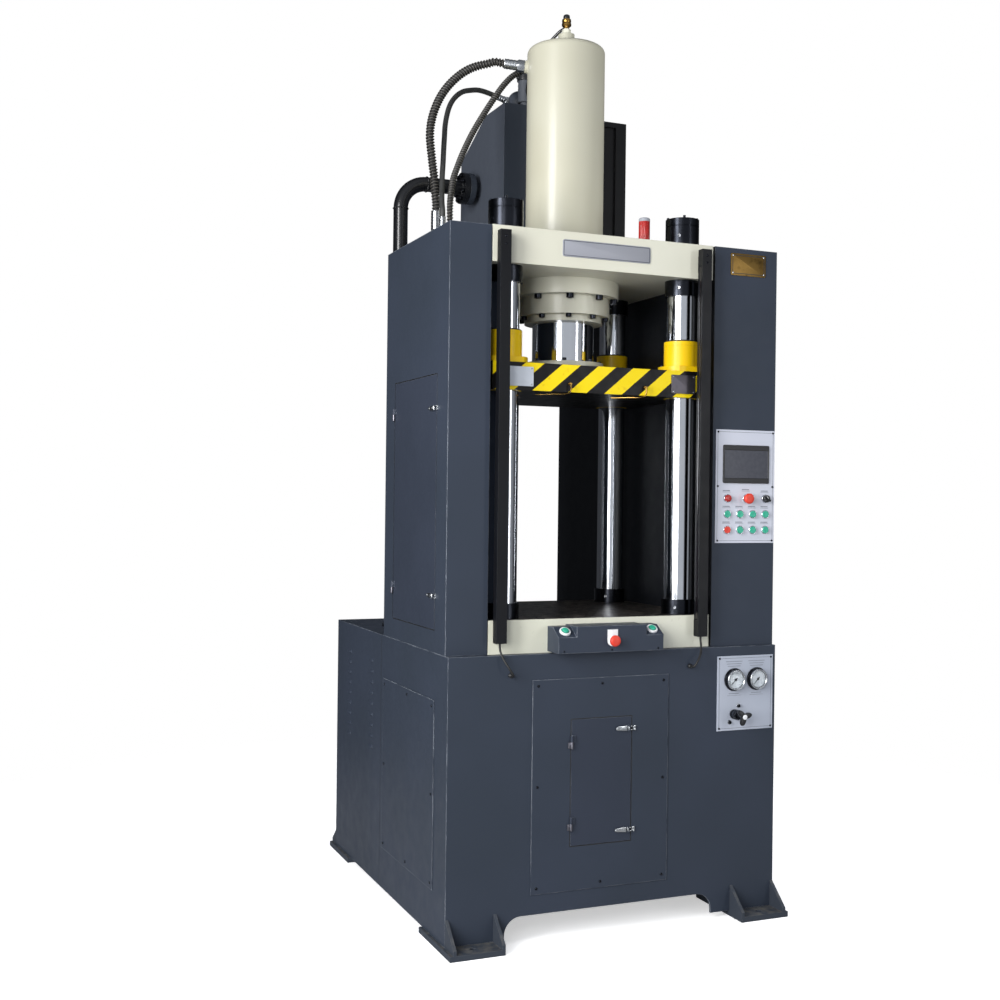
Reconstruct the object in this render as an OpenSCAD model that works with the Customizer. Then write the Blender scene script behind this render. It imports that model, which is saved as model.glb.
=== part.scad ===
// Four-column hydraulic press with a welded base, two side cabinets and a rear oil tank.
// The model is drawn from the middle of the base's front plane on the floor and then
// moved so that the origin lies under the middle of the whole machine.

/* [Base] */
// Width of the base box
base_w = 1346; // [1250:1:1450]
// Depth of the base box
base_d = 1415; // [1380:1:1500]
// Height of the base deck over the floor
base_h = 1025; // [1000:1:1080]
// Plate thickness of the base walls
base_wall = 8; // [6:0.5:12]
// Thickness of the base deck
deck_t = 12; // [10:1:25]
// Width of the left front leg beside the arch
leg_left_w = 223; // [210:1:240]
// Width of the right front leg beside the arch
leg_right_w = 277; // [260:1:300]
// Height of the arch over the floor
arch_h = 97; // [80:1:100]
// Corner radius of the arch
arch_r = 62; // [40:1:70]
// Thickness of the floor tray inside the base
tray_t = 8; // [5:1:12]
// Height of the tray's underside over the floor
tray_z = 110; // [105:1:140]

/* [Feet] */
// Thickness of the foot plates
foot_t = 20; // [15:1:30]
// Width of a foot plate
foot_w = 205; // [180:1:215]
// How far the front feet reach out in front of the base
foot_reach = 88; // [70:1:95]
// How far the rear feet reach out behind the base
foot_back = 57; // [50:1:80]
// Length of a foot plate under the base
foot_under = 240; // [180:1:300]
// How far a foot plate stands out past the base side
foot_out = 12; // [12:0.5:20]
// Height of the foot gussets
gusset_h = 96; // [80:1:120]
// Thickness of the foot gussets
gusset_t = 12; // [8:1:16]
// Height of a gusset's front edge
gusset_lip = 16; // [10:1:25]
// Radius of the anchor holes
anchor_r = 12; // [8:0.5:14]

/* [Covers and doors] */
// Sheet thickness of the base covers and the front door
cover_t = 3; // [2:0.5:4]
// Width of the front cover
cover_w = 553; // [500:1:580]
// Height of the front cover
cover_h = 765; // [720:1:780]
// Middle of the front cover from the base middle
cover_x = -75; // [-90:1:-60]
// Bottom of the front cover over the floor
cover_z = 168; // [150:1:180]
// Width of the front door
door_w = 244; // [200:1:260]
// Height of the front door
door_h = 455; // [400:1:480]
// Bottom of the front door over the cover's bottom
door_rise = 161; // [140:1:180]
// Slit around a door
door_gap = 1.5; // [1:0.5:3]
// Width of the left side cover
side_cover_w = 600; // [500:1:610]
// Height of the left side cover
side_cover_h = 675; // [600:1:700]
// Front edge of the side cover behind the base front
side_cover_y = 131; // [110:1:150]
// Bottom of the side cover over the floor
side_cover_z = 182; // [160:1:200]
// Lap of a cover over its opening
cover_lap = 30; // [25:1:40]
// Radius of a hinge barrel
hinge_r = 5; // [4:0.5:6]
// Length of one hinge half
hinge_half = 23; // [18:1:30]
// Hinge pin radius
hinge_pin_r = 2.5; // [2:0.25:3]
// Length of a latch lever
latch_len = 54; // [40:1:60]

/* [Press frame] */
// Ram axis from the base middle, along X
axis_x = -60; // [-70:1:-55]
// Ram axis behind the base front
axis_y = 400; // [396:1:405]
// Width of the crown and bed plates
plate_w = 904; // [890:1:906]
// Depth of the crown and bed plates
plate_d = 740; // [720:1:744]
// Thickness of the bed plate
bed_t = 121; // [100:1:140]
// Thickness of the crown plate
crown_t = 130; // [110:1:150]
// Height of the crown's top over the floor
crown_top = 2545; // [2500:1:2560]
// Column diameter
column_d = 110; // [100:1:115]
// Column spacing along X
column_dx = 734; // [720:1:736]
// Column spacing along Y
column_dy = 566; // [556:1:568]
// Diameter of the round column nuts
nut_d = 128; // [124:1:132]
// Height of the nuts over the crown
crown_nut_h = 74; // [70:1:100]
// Height of the lock rings over those nuts
lock_h = 31; // [22:1:36]
// Height of the nuts under the crown
shoulder_nut_h = 60; // [50:1:70]
// Height of the nuts on the bed and under the deck
bed_nut_h = 56; // [46:1:66]

/* [Cylinder and ram] */
// Outside diameter of the barrel
barrel_d = 304; // [296:1:312]
// Height of the barrel's top over the floor
barrel_top = 3341; // [3320:1:3380]
// Rounding of the barrel's top edge
barrel_round = 22; // [10:1:30]
// Bore of the barrel
bore_d = 262; // [256:1:270]
// Thickness of the barrel's end wall
barrel_end_t = 60; // [50:1:80]
// Diameter of the mounting flange
flange_d = 432; // [420:1:440]
// Height of the mounting flange
flange_h = 59; // [50:1:70]
// Diameter of the gland housing
gland_d = 362; // [352:1:370]
// Height of the gland housing's wide part
gland_h = 72; // [60:1:90]
// Diameter of the gland housing's nose
nose_d = 304; // [290:1:310]
// Height of the gland housing's nose
nose_h = 24; // [20:1:32]
// Ram diameter
ram_d = 240; // [230:1:246]
// Height of the piston on the ram
piston_h = 95; // [80:1:110]
// Diameter of the ram's flange disc
ram_flange_d = 320; // [310:1:340]
// Thickness of the ram's flange disc
ram_flange_t = 40; // [30:1:44]

/* [Slide] */
// Width of the slide plate
slide_w = 880; // [870:1:884]
// Depth of the slide plate
slide_d = 710; // [706:1:720]
// Thickness of the slide plate
slide_t = 100; // [90:1:110]
// Height of the slide's top over the floor, as drawn
slide_top = 2066; // [2000:1:2080]
// Outside diameter of the guide sleeves
sleeve_d = 129; // [126:1:132]
// Height of the sleeves over the slide
sleeve_h = 116; // [100:1:140]
// Diameter of the sleeve flanges
sleeve_flange_d = 172; // [160:1:180]
// Thickness of the sleeve flanges
sleeve_flange_t = 20; // [14:1:26]
// Longest way down of the slide from where it is drawn
stroke_down = 500; // [400:1:520]

/* [Cabinets] */
// Sheet thickness of the cabinets
cabinet_t = 4; // [3:0.5:5]
// Height of the cabinets' tops over the floor
cabinet_top = 2543; // [2520:1:2560]
// Width of the left cabinet
left_cab_w = 158; // [150:1:160]
// Depth of the left cabinet
left_cab_d = 710; // [680:1:720]
// Width of the right cabinet
right_cab_w = 278; // [270:1:280]
// Depth of the right cabinet
right_cab_d = 1370; // [1340:1:1390]
// Right cabinet's front behind the base front
right_setback = 20; // [10:1:28]
// Width of the left door
left_door_w = 480; // [440:1:500]
// Height of the left door
left_door_h = 911; // [860:1:920]
// Front edge of the left door behind the base front
left_door_y = 145; // [130:1:160]
// Bottom of the left door over the floor
left_door_z = 1107; // [1090:1:1130]

/* [Controls] */
// Sheet thickness of the control panels and plates
panel_t = 3; // [2:0.5:4]
// Width of the operator panel
panel_w = 264; // [262:1:272]
// Height of the operator panel
panel_h = 432; // [420:1:440]
// Bottom of the operator panel over the floor
panel_z = 1418; // [1400:1:1440]
// Width of the touch screen
screen_w = 206; // [190:1:212]
// Height of the touch screen
screen_h = 146; // [130:1:150]
// Button spacing along X
button_dx = 57; // [50:1:60]
// Button row spacing
button_dz = 60; // [50:1:64]
// Radius of a push button cap
cap_r = 13; // [10:0.25:13.5]
// Radius of a button collar
collar_r = 15.5; // [14:0.25:16]
// Radius of an emergency stop head
estop_r = 20; // [17:0.5:21]
// Reach of an emergency stop head in front of its panel
estop_reach = 31; // [28:0.5:34]
// Width of the gauge panel
gauge_panel_w = 248; // [240:1:260]
// Height of the gauge panel
gauge_panel_h = 283; // [270:1:290]
// Bottom of the gauge panel over the floor
gauge_panel_z = 706; // [690:1:720]
// Radius of a gauge case
gauge_r = 38; // [34:0.5:40]
// Radius of a gauge flange
gauge_flange_r = 43.5; // [42:0.5:46]
// Half the spacing of the gauges
gauge_dx = 50; // [47:0.5:54]
// Width of the two-hand control box
box_w = 423; // [400:1:440]
// Depth of the two-hand control box
box_d = 95; // [90:1:100]
// Height of the two-hand control box
box_h = 95; // [90:1:105]
// Middle of the control box from the ram axis
box_dx = -10; // [-20:1:10]
// Width of a light-curtain post
post_w = 40; // [34:1:44]
// Depth of a light-curtain post
post_d = 32; // [26:1:36]
// Left post from the ram axis
post_left_dx = -420; // [-424:1:-416]
// Right post from the ram axis
post_right_dx = 398; // [394:1:402]

/* [Oil system] */
// Width of the oil tank
tank_w = 463; // [440:1:590]
// Depth of the oil tank
tank_d = 502; // [460:1:510]
// Height of the oil tank
tank_h = 668; // [620:1:680]
// Left face of the tank from the ram axis
tank_dx = -103; // [-110:1:-96]
// Sheet thickness of the tank
tank_wall = 4; // [3:0.5:6]
// Diameter of the riser pipe
riser_d = 62; // [56:1:66]
// Bend radius of the riser pipe at its middle
riser_bend = 115; // [100:1:130]
// Riser pipe from the tank's left face
riser_dx = 350; // [330:1:370]
// Riser pipe behind the tank's front
riser_dy = 303; // [280:1:320]
// Height of the riser's level run over the tank's bottom
riser_rise = 368; // [340:1:400]
// Diameter of the pipe flanges
pipe_flange_d = 135; // [125:1:145]
// Thickness of a pipe flange
pipe_flange_t = 26; // [20:1:30]

/* [Hidden] */
$fn = 48;

// Shared clearances and the overrun of every cut
fit = 0.05;
cut = 5;
seat = 0.3;

// Colours
slate = "#434c58";
cream = "#dcdccb";
chrome = "#c9ccd2";
black = "#1d1d20";
yellow = "#f5d816";
silver = "#c0c4cf";
red = "#d8402f";
green = "#3fb596";
brass = "#8a6a3a";

// Main planes
half_w = base_w / 2;
upper_y = axis_y - plate_d / 2;
bed_top = base_h + bed_t;
crown_bottom = crown_top - crown_t;
barrel_bottom = crown_bottom - flange_h;
gland_bottom = barrel_bottom - gland_h;
slide_bottom = slide_top - slide_t;
slide_front = axis_y - slide_d / 2;
cabinet_gap = 3;
left_cab_x = axis_x - plate_w / 2 - cabinet_gap;
left_face = left_cab_x - left_cab_w;
right_cab_x = axis_x + plate_w / 2 + cabinet_gap;
right_face = right_cab_x + right_cab_w;
column_r = column_d / 2;
barrel_r = barrel_d / 2;
ram_r = ram_d / 2;
sleeve_r = sleeve_d / 2;
column_places = [for (sx = [-1, 1], sy = [-1, 1])
    [axis_x + sx * column_dx / 2, axis_y + sy * column_dy / 2]];

// The origin lies under the middle of the machine's box, on the floor
box_front = upper_y - box_d;
front_reach = max(foot_reach, estop_reach - box_front);
frame_y = (base_d + foot_back - front_reach) / 2;

// Louvre slots of the base's left side
louvre_count = 9;
louvre_l = 50;
louvre_h = 9;
louvre_pitch = 44;
louvre_drop = 475;
louvre_z = base_h - louvre_drop;
louvre_row_shares = [0.2135, 0.6813];
side_cover_end = side_cover_y + side_cover_w;
louvre_rows = [for (share = louvre_row_shares) side_cover_end + share * (base_d - side_cover_end)];

// Hinge and latch details, shared by both doors
hinge_off = hinge_r + 2 * seat;
hinge_leaf = 14;
front_hinge_inset = 80;
front_latch_inset = 42;
left_hinge_inset = 120;
left_latch_inset = 120;
latch_eye_r = 4.5;
latch_eye_h = 12;
latch_pin_r = 2;
latch_off = 6;
latch_in = 13;
latch_t = 2.5;
latch_neck = 9;
latch_wide = 20;
latch_tip = 11;
latch_ear = 4;
latch_ear_l = 9;
keeper_l = 12;
keeper_h = 16;
keeper_t = 6;

// Nut details
tommy_r = 6;
tommy_deep = 12;
groove_h = 4;
groove_deep = 4;
lock_screw_r = 5;
lock_screw_h = 9;
lock_screws = 4;
lock_turn = -23;
nut_turn_left = 20;
nut_turn_right = 49;
spot_deep = 2;
spot_gap = 3;
column_over = 12;

// Socket screw heads under the cylinder and on the ram's disc
ring_bolts = 10;
disc_bolts = 8;
flange_bolt_r = 14;
flange_bolt_h = 18;
flange_bolt_in = 16;
gland_bolt_r = 11;
gland_bolt_h = 14;
gland_bolt_in = 14;
disc_bolt_r = 8;
disc_bolt_h = 12;
disc_bolt_in = 16;

// Piston and air-bleed boss
piston_low = barrel_bottom + stroke_down + nose_h;
boss_r = 32;
boss_h = 58;

// Slide trim
label_w = 102;
label_h = 70;
label_t = 6;
label_in = 105;
label_dx = slide_w / 2 - label_in;
label_rise_share = 0.14;
label_z = slide_bottom + slide_t * label_rise_share;
nipple_r = 5;
nipple_l = 16;
nipple_dx = 155;
nipple_shift = 16;
nipple_z = 30;
sleeve_bolt_r = 6;
sleeve_bolt_h = 7;

// Operator panel
panel_side = 1.5;
panel_x = right_face - panel_w / 2 - panel_side;
panel_lap = 12;
panel_front = right_setback - panel_t;
button_shift = 4;
button_x = panel_x + button_shift;
button_left = button_x - 1.5 * button_dx;
button_rise = 50;
button_row = panel_z + button_rise;
button_height = [for (row = [0, 1, 2]) button_row + row * button_dz];
screen_rise = 228;
screen_z = panel_z + screen_rise;
screen_shift = 1.5;
screen_x = panel_x + screen_shift;
screen_out = 5;
screen_in = 38;
screen_rim = 6;
collar_out = 5;
collar_in = 18;
cap_out = 10;
cap_in = 15;
estop_cap_t = 15;
estop_round = 6;
knob_r = 14;
knob_bar_w = 8;
knob_bar_h = 9;
lens_r = 13.5;
lens_h = 11;

// Gauge panel
gauge_side = 12;
gauge_panel_x = half_w - gauge_panel_w / 2 - gauge_side;
gauge_dz = 193;
gauge_out = 20;
gauge_in = 30;
gauge_lip = 6;
gauge_dial_r = gauge_r - gauge_lip;
gauge_recess = 9;
spindle_r = 1.5;
needle_t = 1.5;
needle_hub_r = 5;
needle_gap = 6;
needle_len = gauge_dial_r - needle_gap;
needle_tail = 9;
needle_w = 3;
needle_rest = 225;
valve_dx = -50;
valve_dz = 62;
valve_neck_r = 17;
valve_neck_l = 34;
valve_bolt_x_share = 1.15;
valve_bolt_z_share = 1.8;
valve_body_w = 74;
valve_body_d = 60;
handle_shaft_r = 6;
handle_y = 62;
handle_t = 16;
handle_hub_r = 13;
handle_lobe_r = 9;
handle_arm_w = 14;
handle_reach = 25;

// Plates without lettering
brass_w = 156;
brass_h = 84;
brass_drop = 103;
brass_z = cabinet_top - brass_drop;
brass_shift = 2.3;
brass_x = panel_x + brass_shift;
crown_plate_w = 360;
crown_plate_h = 62;
crown_plate_rise = 39;
crown_plate_z = crown_bottom + crown_plate_rise;

// Two-hand control box
box_x = axis_x + box_dx;
box_rise = 6;
box_z = base_h + box_rise;
box_block_w = 281;
box_wall = 3;
wing_w = (box_w - box_block_w) / 2;
wing_top_share = 0.95;
wing_front_share = 0.6;
wing_flat_share = 0.47;
wing_top = box_h * wing_top_share;
wing_front = box_h * wing_front_share;
wing_flat = box_d * wing_flat_share;
wing_slope = atan2(wing_top - wing_front, box_d - wing_flat);
palm_r = 15;
palm_cap_t = 10;
palm_out = 20;
palm_guard_r = 20;
palm_guard_h = 7;
shield_w = 42;
shield_h = 60;
shield_t = 2;
box_estop_dx = 2;
box_estop_dz = 42;

// Light-curtain posts
post_gap = 15;
post_drop = 24;
post_top = crown_top - post_drop;
post_rise = 43;
post_bottom = base_h + post_rise;
post_slot_w = 14;
post_slot_d = 3;
bracket_h = 60;
bracket_w = 24;

// Beacon
beacon_r = 21.5;
beacon_h = 95;
beacon_in_x = 175;
beacon_dx = column_dx / 2 - beacon_in_x;
beacon_in_y = 70;
beacon_y = upper_y + beacon_in_y;
beacon_cap_h = 14;

// Oil tank
tank_x = axis_x + tank_dx;
tank_gap = 5;
tank_y = axis_y + plate_d / 2 + tank_gap;
arm_t = 15;
tank_z = crown_top + arm_t;
tank_top = tank_z + tank_h;
tank_chamfer_y = 290;
tank_chamfer_z = 136;
side_box_w = 112;
side_box_d = 360;
side_box_drop = 20;
side_box_back = 4;
side_box_frame = 22;
side_box_post = 50;
side_box_deep = 12;
arm_w = 80;
arm_over = 125;
arm_dx = 130;
arm_gusset_t = 12;
arm_gusset_h = 110;
stub_l = 52;
dome_r = 50;
dome_h = 98;
dome_dx = 121;
dome_dy = 130;
breather_dx = 111;
breather_dy = 45;
breather_r = 30;
breather_neck_r = 19;
breather_h = 147;
breather_neck_h = 22;
breather_cap_h = 34;
breather_cap_over = 4;

// Riser pipe
riser_x = tank_x - riser_dx;
riser_y = tank_y + riser_dy;
riser_z = tank_z + riser_rise;
riser_wall = 5;
riser_base_r = 58;
riser_base_t = 14;
pipe_bolts = 8;
pipe_bolt_r = 9;
pipe_bolt_h = 14;
pipe_bolt_in = 14;

// Valve manifold, hose posts and the motor with its pump
shelf_t = 5;
manifold_drop = 143;
manifold_z = cabinet_top - manifold_drop;
manifold_w = 84;
manifold_h = 80;
manifold_in = 210;
manifold_d = 245;
manifold_y = [upper_y + manifold_in, upper_y + manifold_in + manifold_d];
hose_in = 93;
hose_x = left_face + hose_in;
pressure_d = 34;
return_d = 21;
fill_d = 25;
cable_d = 8;
bleed_d = 12;
ferrule_over = 2;
nut_over = 7;
hose_nut_h = 30;
motor_r = 130;
motor_l = 420;
motor_back = 335;
motor_y = base_d - motor_back;
motor_foot_h = 40;
motor_foot_w = 220;
pump_r = 75;
pump_l = 160;
bell_r = 105;
bell_l = 110;

// Screws
screw_r = 5;
screw_h = 3;
screw_in = 22;
small_screw_r = 3.5;
small_screw_h = 2;
small_screw_in = 9;

// Hose and cable routes, in the drawing's own place
pressure_route = [[-285, 489, 3283], [-322, 503, 3288], [-348, 508, 3279], [-381, 513, 3269],
    [-415, 514, 3254], [-450, 512, 3231], [-485, 509, 3200], [-514, 504, 3168], [-543, 497, 3127],
    [-566, 489, 3083], [-583, 482, 3038], [-593, 475, 2997], [-597, 470, 2957], [-596, 464, 2917],
    [-593, 459, 2879], [-590, 454, 2840], [-586, 449, 2802], [-584, 445, 2763], [-582, 441, 2724],
    [-580, 438, 2695], [-580, 438, 2665]];
return_route = [[-190, 797, 3254], [-232, 786, 3260], [-285, 757, 3256], [-335, 717, 3238],
    [-386, 678, 3214], [-423, 647, 3185], [-453, 621, 3151], [-475, 597, 3115], [-492, 575, 3074],
    [-507, 551, 3027], [-517, 529, 2982], [-531, 498, 2914], [-541, 475, 2863], [-553, 449, 2805],
    [-568, 410, 2732], [-578, 380, 2684], [-580, 366, 2652], [-580, 366, 2630]];
fill_route = [[-189, 555.3, 3285], [-225, 547, 3259], [-268, 530, 3215], [-310, 510, 3161],
    [-353, 489, 3101], [-397, 464, 3037], [-434, 440, 2981], [-471, 412, 2919], [-499, 388, 2869],
    [-524, 365, 2820], [-545, 345, 2776], [-561, 322, 2726], [-574, 300, 2677], [-579, 289, 2640],
    [-580, 285, 2610], [-580, 285, 2585]];
cable_left_route = [[-480, -1, 1068], [-480, -1, 1055], [-478, -8, 1034], [-471, -20, 1011],
    [-462, -29, 993], [-452, -34, 976], [-443, -33, 962], [-438, -29, 955], [-437, -23, 953],
    [-437, -12, 953]];
cable_right_route = [[338, -1, 1068], [338, -1, 1055], [336, -8, 1035], [329, -20, 1014],
    [319, -29, 997], [308, -34, 981], [299, -33, 967], [294, -29, 960], [292, -23, 958],
    [292, -12, 958]];
bleed_route = [[-64, 407, 3426], [-74, 421, 3421], [-86, 438, 3408], [-98, 458, 3392], [-108, 482, 3376],
    [-115, 512, 3364], [-118, 548, 3352], [-117, 588, 3334], [-112, 630, 3310], [-103, 672, 3287],
    [-89, 714, 3270], [-68, 752, 3261], [-38, 784, 3257], [-4, 805, 3256]];
cable_gland_r = 9;
cable_gland_l = 12;
elbow_spare = 1.5;
elbow_reach = fill_d / 2 + ferrule_over + elbow_spare;
return_reach = 50;
port_boss_out = 9;
port_boss_rim = 0.5;

// Radius and height of each step of the air-bleed fitting
bleed_stack = [[17, 22], [11, 10], [19, 30], [13, 18]];
bleed_base = barrel_top + boss_h;

// Shapes that repeat

module in_frame() {
    translate([0, -frame_y, 0]) children();
}

module block(x, y, z) {
    translate([x[0], y[0], z[0]]) cube([x[1] - x[0], y[1] - y[0], z[1] - z[0]]);
}

module rod_x(y, z, x, r) {
    translate([x[0], y, z]) rotate([0, 90, 0]) cylinder(h = x[1] - x[0], r = r);
}

module rod_y(x, z, y, r) {
    translate([x, y[0], z]) rotate([-90, 0, 0]) cylinder(h = y[1] - y[0], r = r);
}

module rod_z(place, z, r) {
    translate([place[0], place[1], z[0]]) cylinder(h = z[1] - z[0], r = r);
}

// Turns a shape that stands on +Z so that it points along d from p
module aim(p, d) {
    translate(p) rotate([0, acos(d[2] / norm(d)), atan2(d[1], d[0])]) children();
}

// A flat shape drawn in Y and Z and carried along X
module along_x(x) {
    translate([x[0], 0, 0]) rotate([90, 0, 90]) linear_extrude(x[1] - x[0]) children();
}

// A flat shape drawn in X and Z and carried along Y
module along_y(y) {
    translate([0, y[1], 0]) rotate([90, 0, 0]) linear_extrude(y[1] - y[0]) children();
}

// Screw heads at the corners of an upright panel, with extra rows between
module corner_heads(x, z, inset, y, cols, rows, r, h) {
    for (i = [0 : cols - 1], j = [0 : rows - 1])
        if (i == 0 || i == cols - 1 || j == 0 || j == rows - 1)
            rod_y(x[0] + inset + (x[1] - x[0] - 2 * inset) * i / (cols - 1),
                z[0] + inset + (z[1] - z[0] - 2 * inset) * j / (rows - 1), [y - h, y], r);
}

// A ring of upright heads about the ram axis
module axis_heads(count, ring, z, r) {
    for (i = [0 : count - 1]) let (a = 360 / count * (i + 0.5) - 90)
        rod_z([axis_x + ring * cos(a), axis_y + ring * sin(a)], z, r);
}

// Rings of points square to a route, joined into one closed tube
function way(p, i) = p[min(i + 1, len(p) - 1)] - p[max(i - 1, 0)];
function unit(v) = v / norm(v);
function route_ring(p, i, r, n) = let (t = unit(way(p, i)), a = unit(cross(t, cross([0.3, 1, 0.2], t))),
    b = cross(t, a)) [for (k = [0 : n - 1]) p[i] + r * (cos(360 * k / n) * a + sin(360 * k / n) * b)];

module tube_along(p, d, n = 10) {
    rings = len(p);
    points = [for (i = [0 : rings - 1]) each route_ring(p, i, d / 2, n)];
    walls = [for (i = [0 : rings - 2], k = [0 : n - 1]) let (m = (k + 1) % n)
        each [[i * n + k, (i + 1) * n + m, i * n + m], [i * n + k, (i + 1) * n + k, (i + 1) * n + m]]];
    near_end = [[for (k = [0 : n - 1]) k]];
    far_end = [[for (k = [0 : n - 1]) rings * n - 1 - k]];
    polyhedron(points = points, faces = concat(walls, near_end, far_end));
}

// Base

module arch_outline() {
    x0 = -half_w + leg_left_w;
    x1 = half_w - leg_right_w;
    translate([x0, -cut]) square([x1 - x0, arch_h - arch_r + cut]);
    translate([x0 + arch_r, -cut]) square([x1 - x0 - 2 * arch_r, arch_h + cut]);
    for (x = [x0 + arch_r, x1 - arch_r]) translate([x, arch_h - arch_r]) circle(r = arch_r);
}

module base_frame() color(slate) in_frame() {
    inner = [-half_w + base_wall, half_w - base_wall];
    difference() {
        block([-half_w, half_w], [0, base_d], [foot_t, base_h]);
        block(inner, [base_wall, base_d - base_wall], [foot_t - cut, tray_z]);
        block(inner, [base_wall, base_d - base_wall], [tray_z + tray_t, base_h - deck_t]);
        along_y([-cut, base_d + cut]) arch_outline();
        block([cover_x - cover_w / 2 + cover_lap, cover_x + cover_w / 2 - cover_lap], [-cut,
            base_wall + cut],
            [cover_z + cover_lap, cover_z + cover_h - cover_lap]);
        block([gauge_panel_x - gauge_panel_w / 2 + panel_lap,
            gauge_panel_x + gauge_panel_w / 2 - panel_lap],
            [-cut, base_wall + cut],
            [gauge_panel_z + panel_lap, gauge_panel_z + gauge_panel_h - panel_lap]);
        block([-half_w - cut, -half_w + base_wall + cut],
            [side_cover_y + cover_lap, side_cover_y + side_cover_w - cover_lap],
            [side_cover_z + cover_lap, side_cover_z + side_cover_h - cover_lap]);
        for (y = louvre_rows, i = [0 : louvre_count - 1])
            block([-half_w - cut, -half_w + base_wall + cut],
                [y, y + louvre_l],
                [louvre_z + i * louvre_pitch, louvre_z + i * louvre_pitch + louvre_h]);
        for (c = column_places) rod_z(c, [base_h - deck_t - cut, base_h + cut], column_r + fit);
        rod_z([riser_x, riser_y], [base_h - deck_t - cut, base_h + cut], riser_d / 2);
    }
}

module foot(front) {
    x0 = half_w + foot_out - foot_w;
    x1 = half_w + foot_out;
    reach = front ? foot_reach : foot_back;
    rise = front ? gusset_h : gusset_h * foot_back / foot_reach;
    difference() {
        block([x0, x1], [-reach, foot_under], [0, foot_t]);
        rod_z([(x0 + x1) / 2, -reach / 2], [-cut, foot_t + cut], anchor_r);
    }
    for (x = [x0, half_w - gusset_t]) along_x([x, x + gusset_t])
        polygon([[0, foot_t], [-reach, foot_t], [-reach, foot_t + gusset_lip], [0, foot_t + rise]]);
}

module feet() color(slate) in_frame() {
    for (s = [0, 1]) mirror([s, 0, 0]) {
        foot(true);
        translate([0, base_d, 0]) mirror([0, 1, 0]) foot(false);
    }
}

// Covers and doors

door_x0 = cover_x - door_w / 2;
door_z = cover_z + door_rise;

module front_cover() color(slate) in_frame() {
    difference() {
        block([cover_x - cover_w / 2, cover_x + cover_w / 2], [-cover_t, 0], [cover_z, cover_z + cover_h]);
        block([door_x0 - door_gap, door_x0 + door_w + door_gap], [-cover_t - cut, cut],
            [door_z - door_gap, door_z + door_h + door_gap]);
    }
}

module side_cover() color(slate) in_frame() {
    block([-half_w - cover_t, -half_w], [side_cover_y, side_cover_y + side_cover_w],
        [side_cover_z, side_cover_z + side_cover_h]);
}

// Both doors are drawn as seen from outside: x to the right, y inwards from the outer face
module at_front_door() {
    in_frame() translate([door_x0, -cover_t, door_z]) children();
}

module at_left_door() {
    in_frame() translate([left_face, left_door_y + left_door_w, left_door_z]) rotate([0, 0, -90]) children();
}

module hinge_moving(z) {
    difference() {
        union() {
            rod_z([0, -hinge_off], [z + seat, z + hinge_half], hinge_r);
            block([0, hinge_leaf], [-hinge_off, 0], [z + seat, z + hinge_half]);
        }
        rod_z([0, -hinge_off], [z, z + hinge_half + cut], hinge_pin_r + fit);
    }
}

module hinge_fixed(z) {
    rod_z([0, -hinge_off], [z - hinge_half, z], hinge_r);
    block([-hinge_leaf, 0], [-hinge_off, 0], [z - hinge_half, z]);
    rod_z([0, -hinge_off], [z, z + hinge_half], hinge_pin_r);
}

module latch_base(w, z) {
    x = w - latch_in;
    for (s = [-1, 1]) {
        z0 = z + s * (latch_eye_h / 2 + seat + latch_ear / 2);
        block([x - latch_ear_l / 2, x + latch_ear_l / 2], [-latch_off - latch_ear, 0],
            [z0 - latch_ear / 2, z0 + latch_ear / 2]);
    }
    rod_z([x, -latch_off], [z - latch_eye_h / 2 - seat - latch_ear / 2,
        z + latch_eye_h / 2 + seat + latch_ear / 2],
        latch_pin_r);
}

module latch_lever(w, z) {
    x = w - latch_in;
    difference() {
        union() {
            rod_z([x, -latch_off], [z - latch_eye_h / 2, z + latch_eye_h / 2], latch_eye_r);
            along_y([-latch_off - latch_t / 2, -latch_off + latch_t / 2])
                polygon([[x, z - latch_eye_h / 2], [x, z + latch_eye_h / 2],
                    [x - latch_neck, z + latch_eye_h / 2], [x - latch_neck, z + latch_wide / 2],
                    [x - latch_len, z + latch_tip / 2], [x - latch_len, z - latch_tip / 2],
                    [x - latch_neck, z - latch_wide / 2], [x - latch_neck, z - latch_eye_h / 2]]);
        }
        rod_z([x, -latch_off], [z - latch_eye_h, z + latch_eye_h], latch_pin_r + fit);
    }
}

module latch_keeper(w, z) {
    x = w + door_gap + keeper_t / 2;
    block([x, x + keeper_l], [-keeper_t, 0], [z - keeper_h / 2, z + keeper_h / 2]);
}

module door_leaf(w, h, t, hinge_inset, latch_inset) {
    difference() {
        block([0, w], [0, t], [0, h]);
        for (z = [latch_inset, h - latch_inset]) rod_z([w - latch_in, -latch_off], [z - cut, z + cut],
            latch_off / 2);
    }
    for (z = [hinge_inset, h - hinge_inset]) hinge_moving(z);
    for (z = [latch_inset, h - latch_inset]) latch_base(w, z);
}

module front_door() color(slate) at_front_door()
    door_leaf(door_w, door_h, cover_t, front_hinge_inset, front_latch_inset);

module left_door() color(slate) at_left_door()
    door_leaf(left_door_w, left_door_h, cabinet_t, left_hinge_inset, left_latch_inset);

module front_latch_upper() color(silver) at_front_door() latch_lever(door_w, door_h - front_latch_inset);
module front_latch_lower() color(silver) at_front_door() latch_lever(door_w, front_latch_inset);
module left_latch_upper() color(silver) at_left_door() latch_lever(left_door_w,
    left_door_h - left_latch_inset);
module left_latch_lower() color(silver) at_left_door() latch_lever(left_door_w, left_latch_inset);

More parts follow.
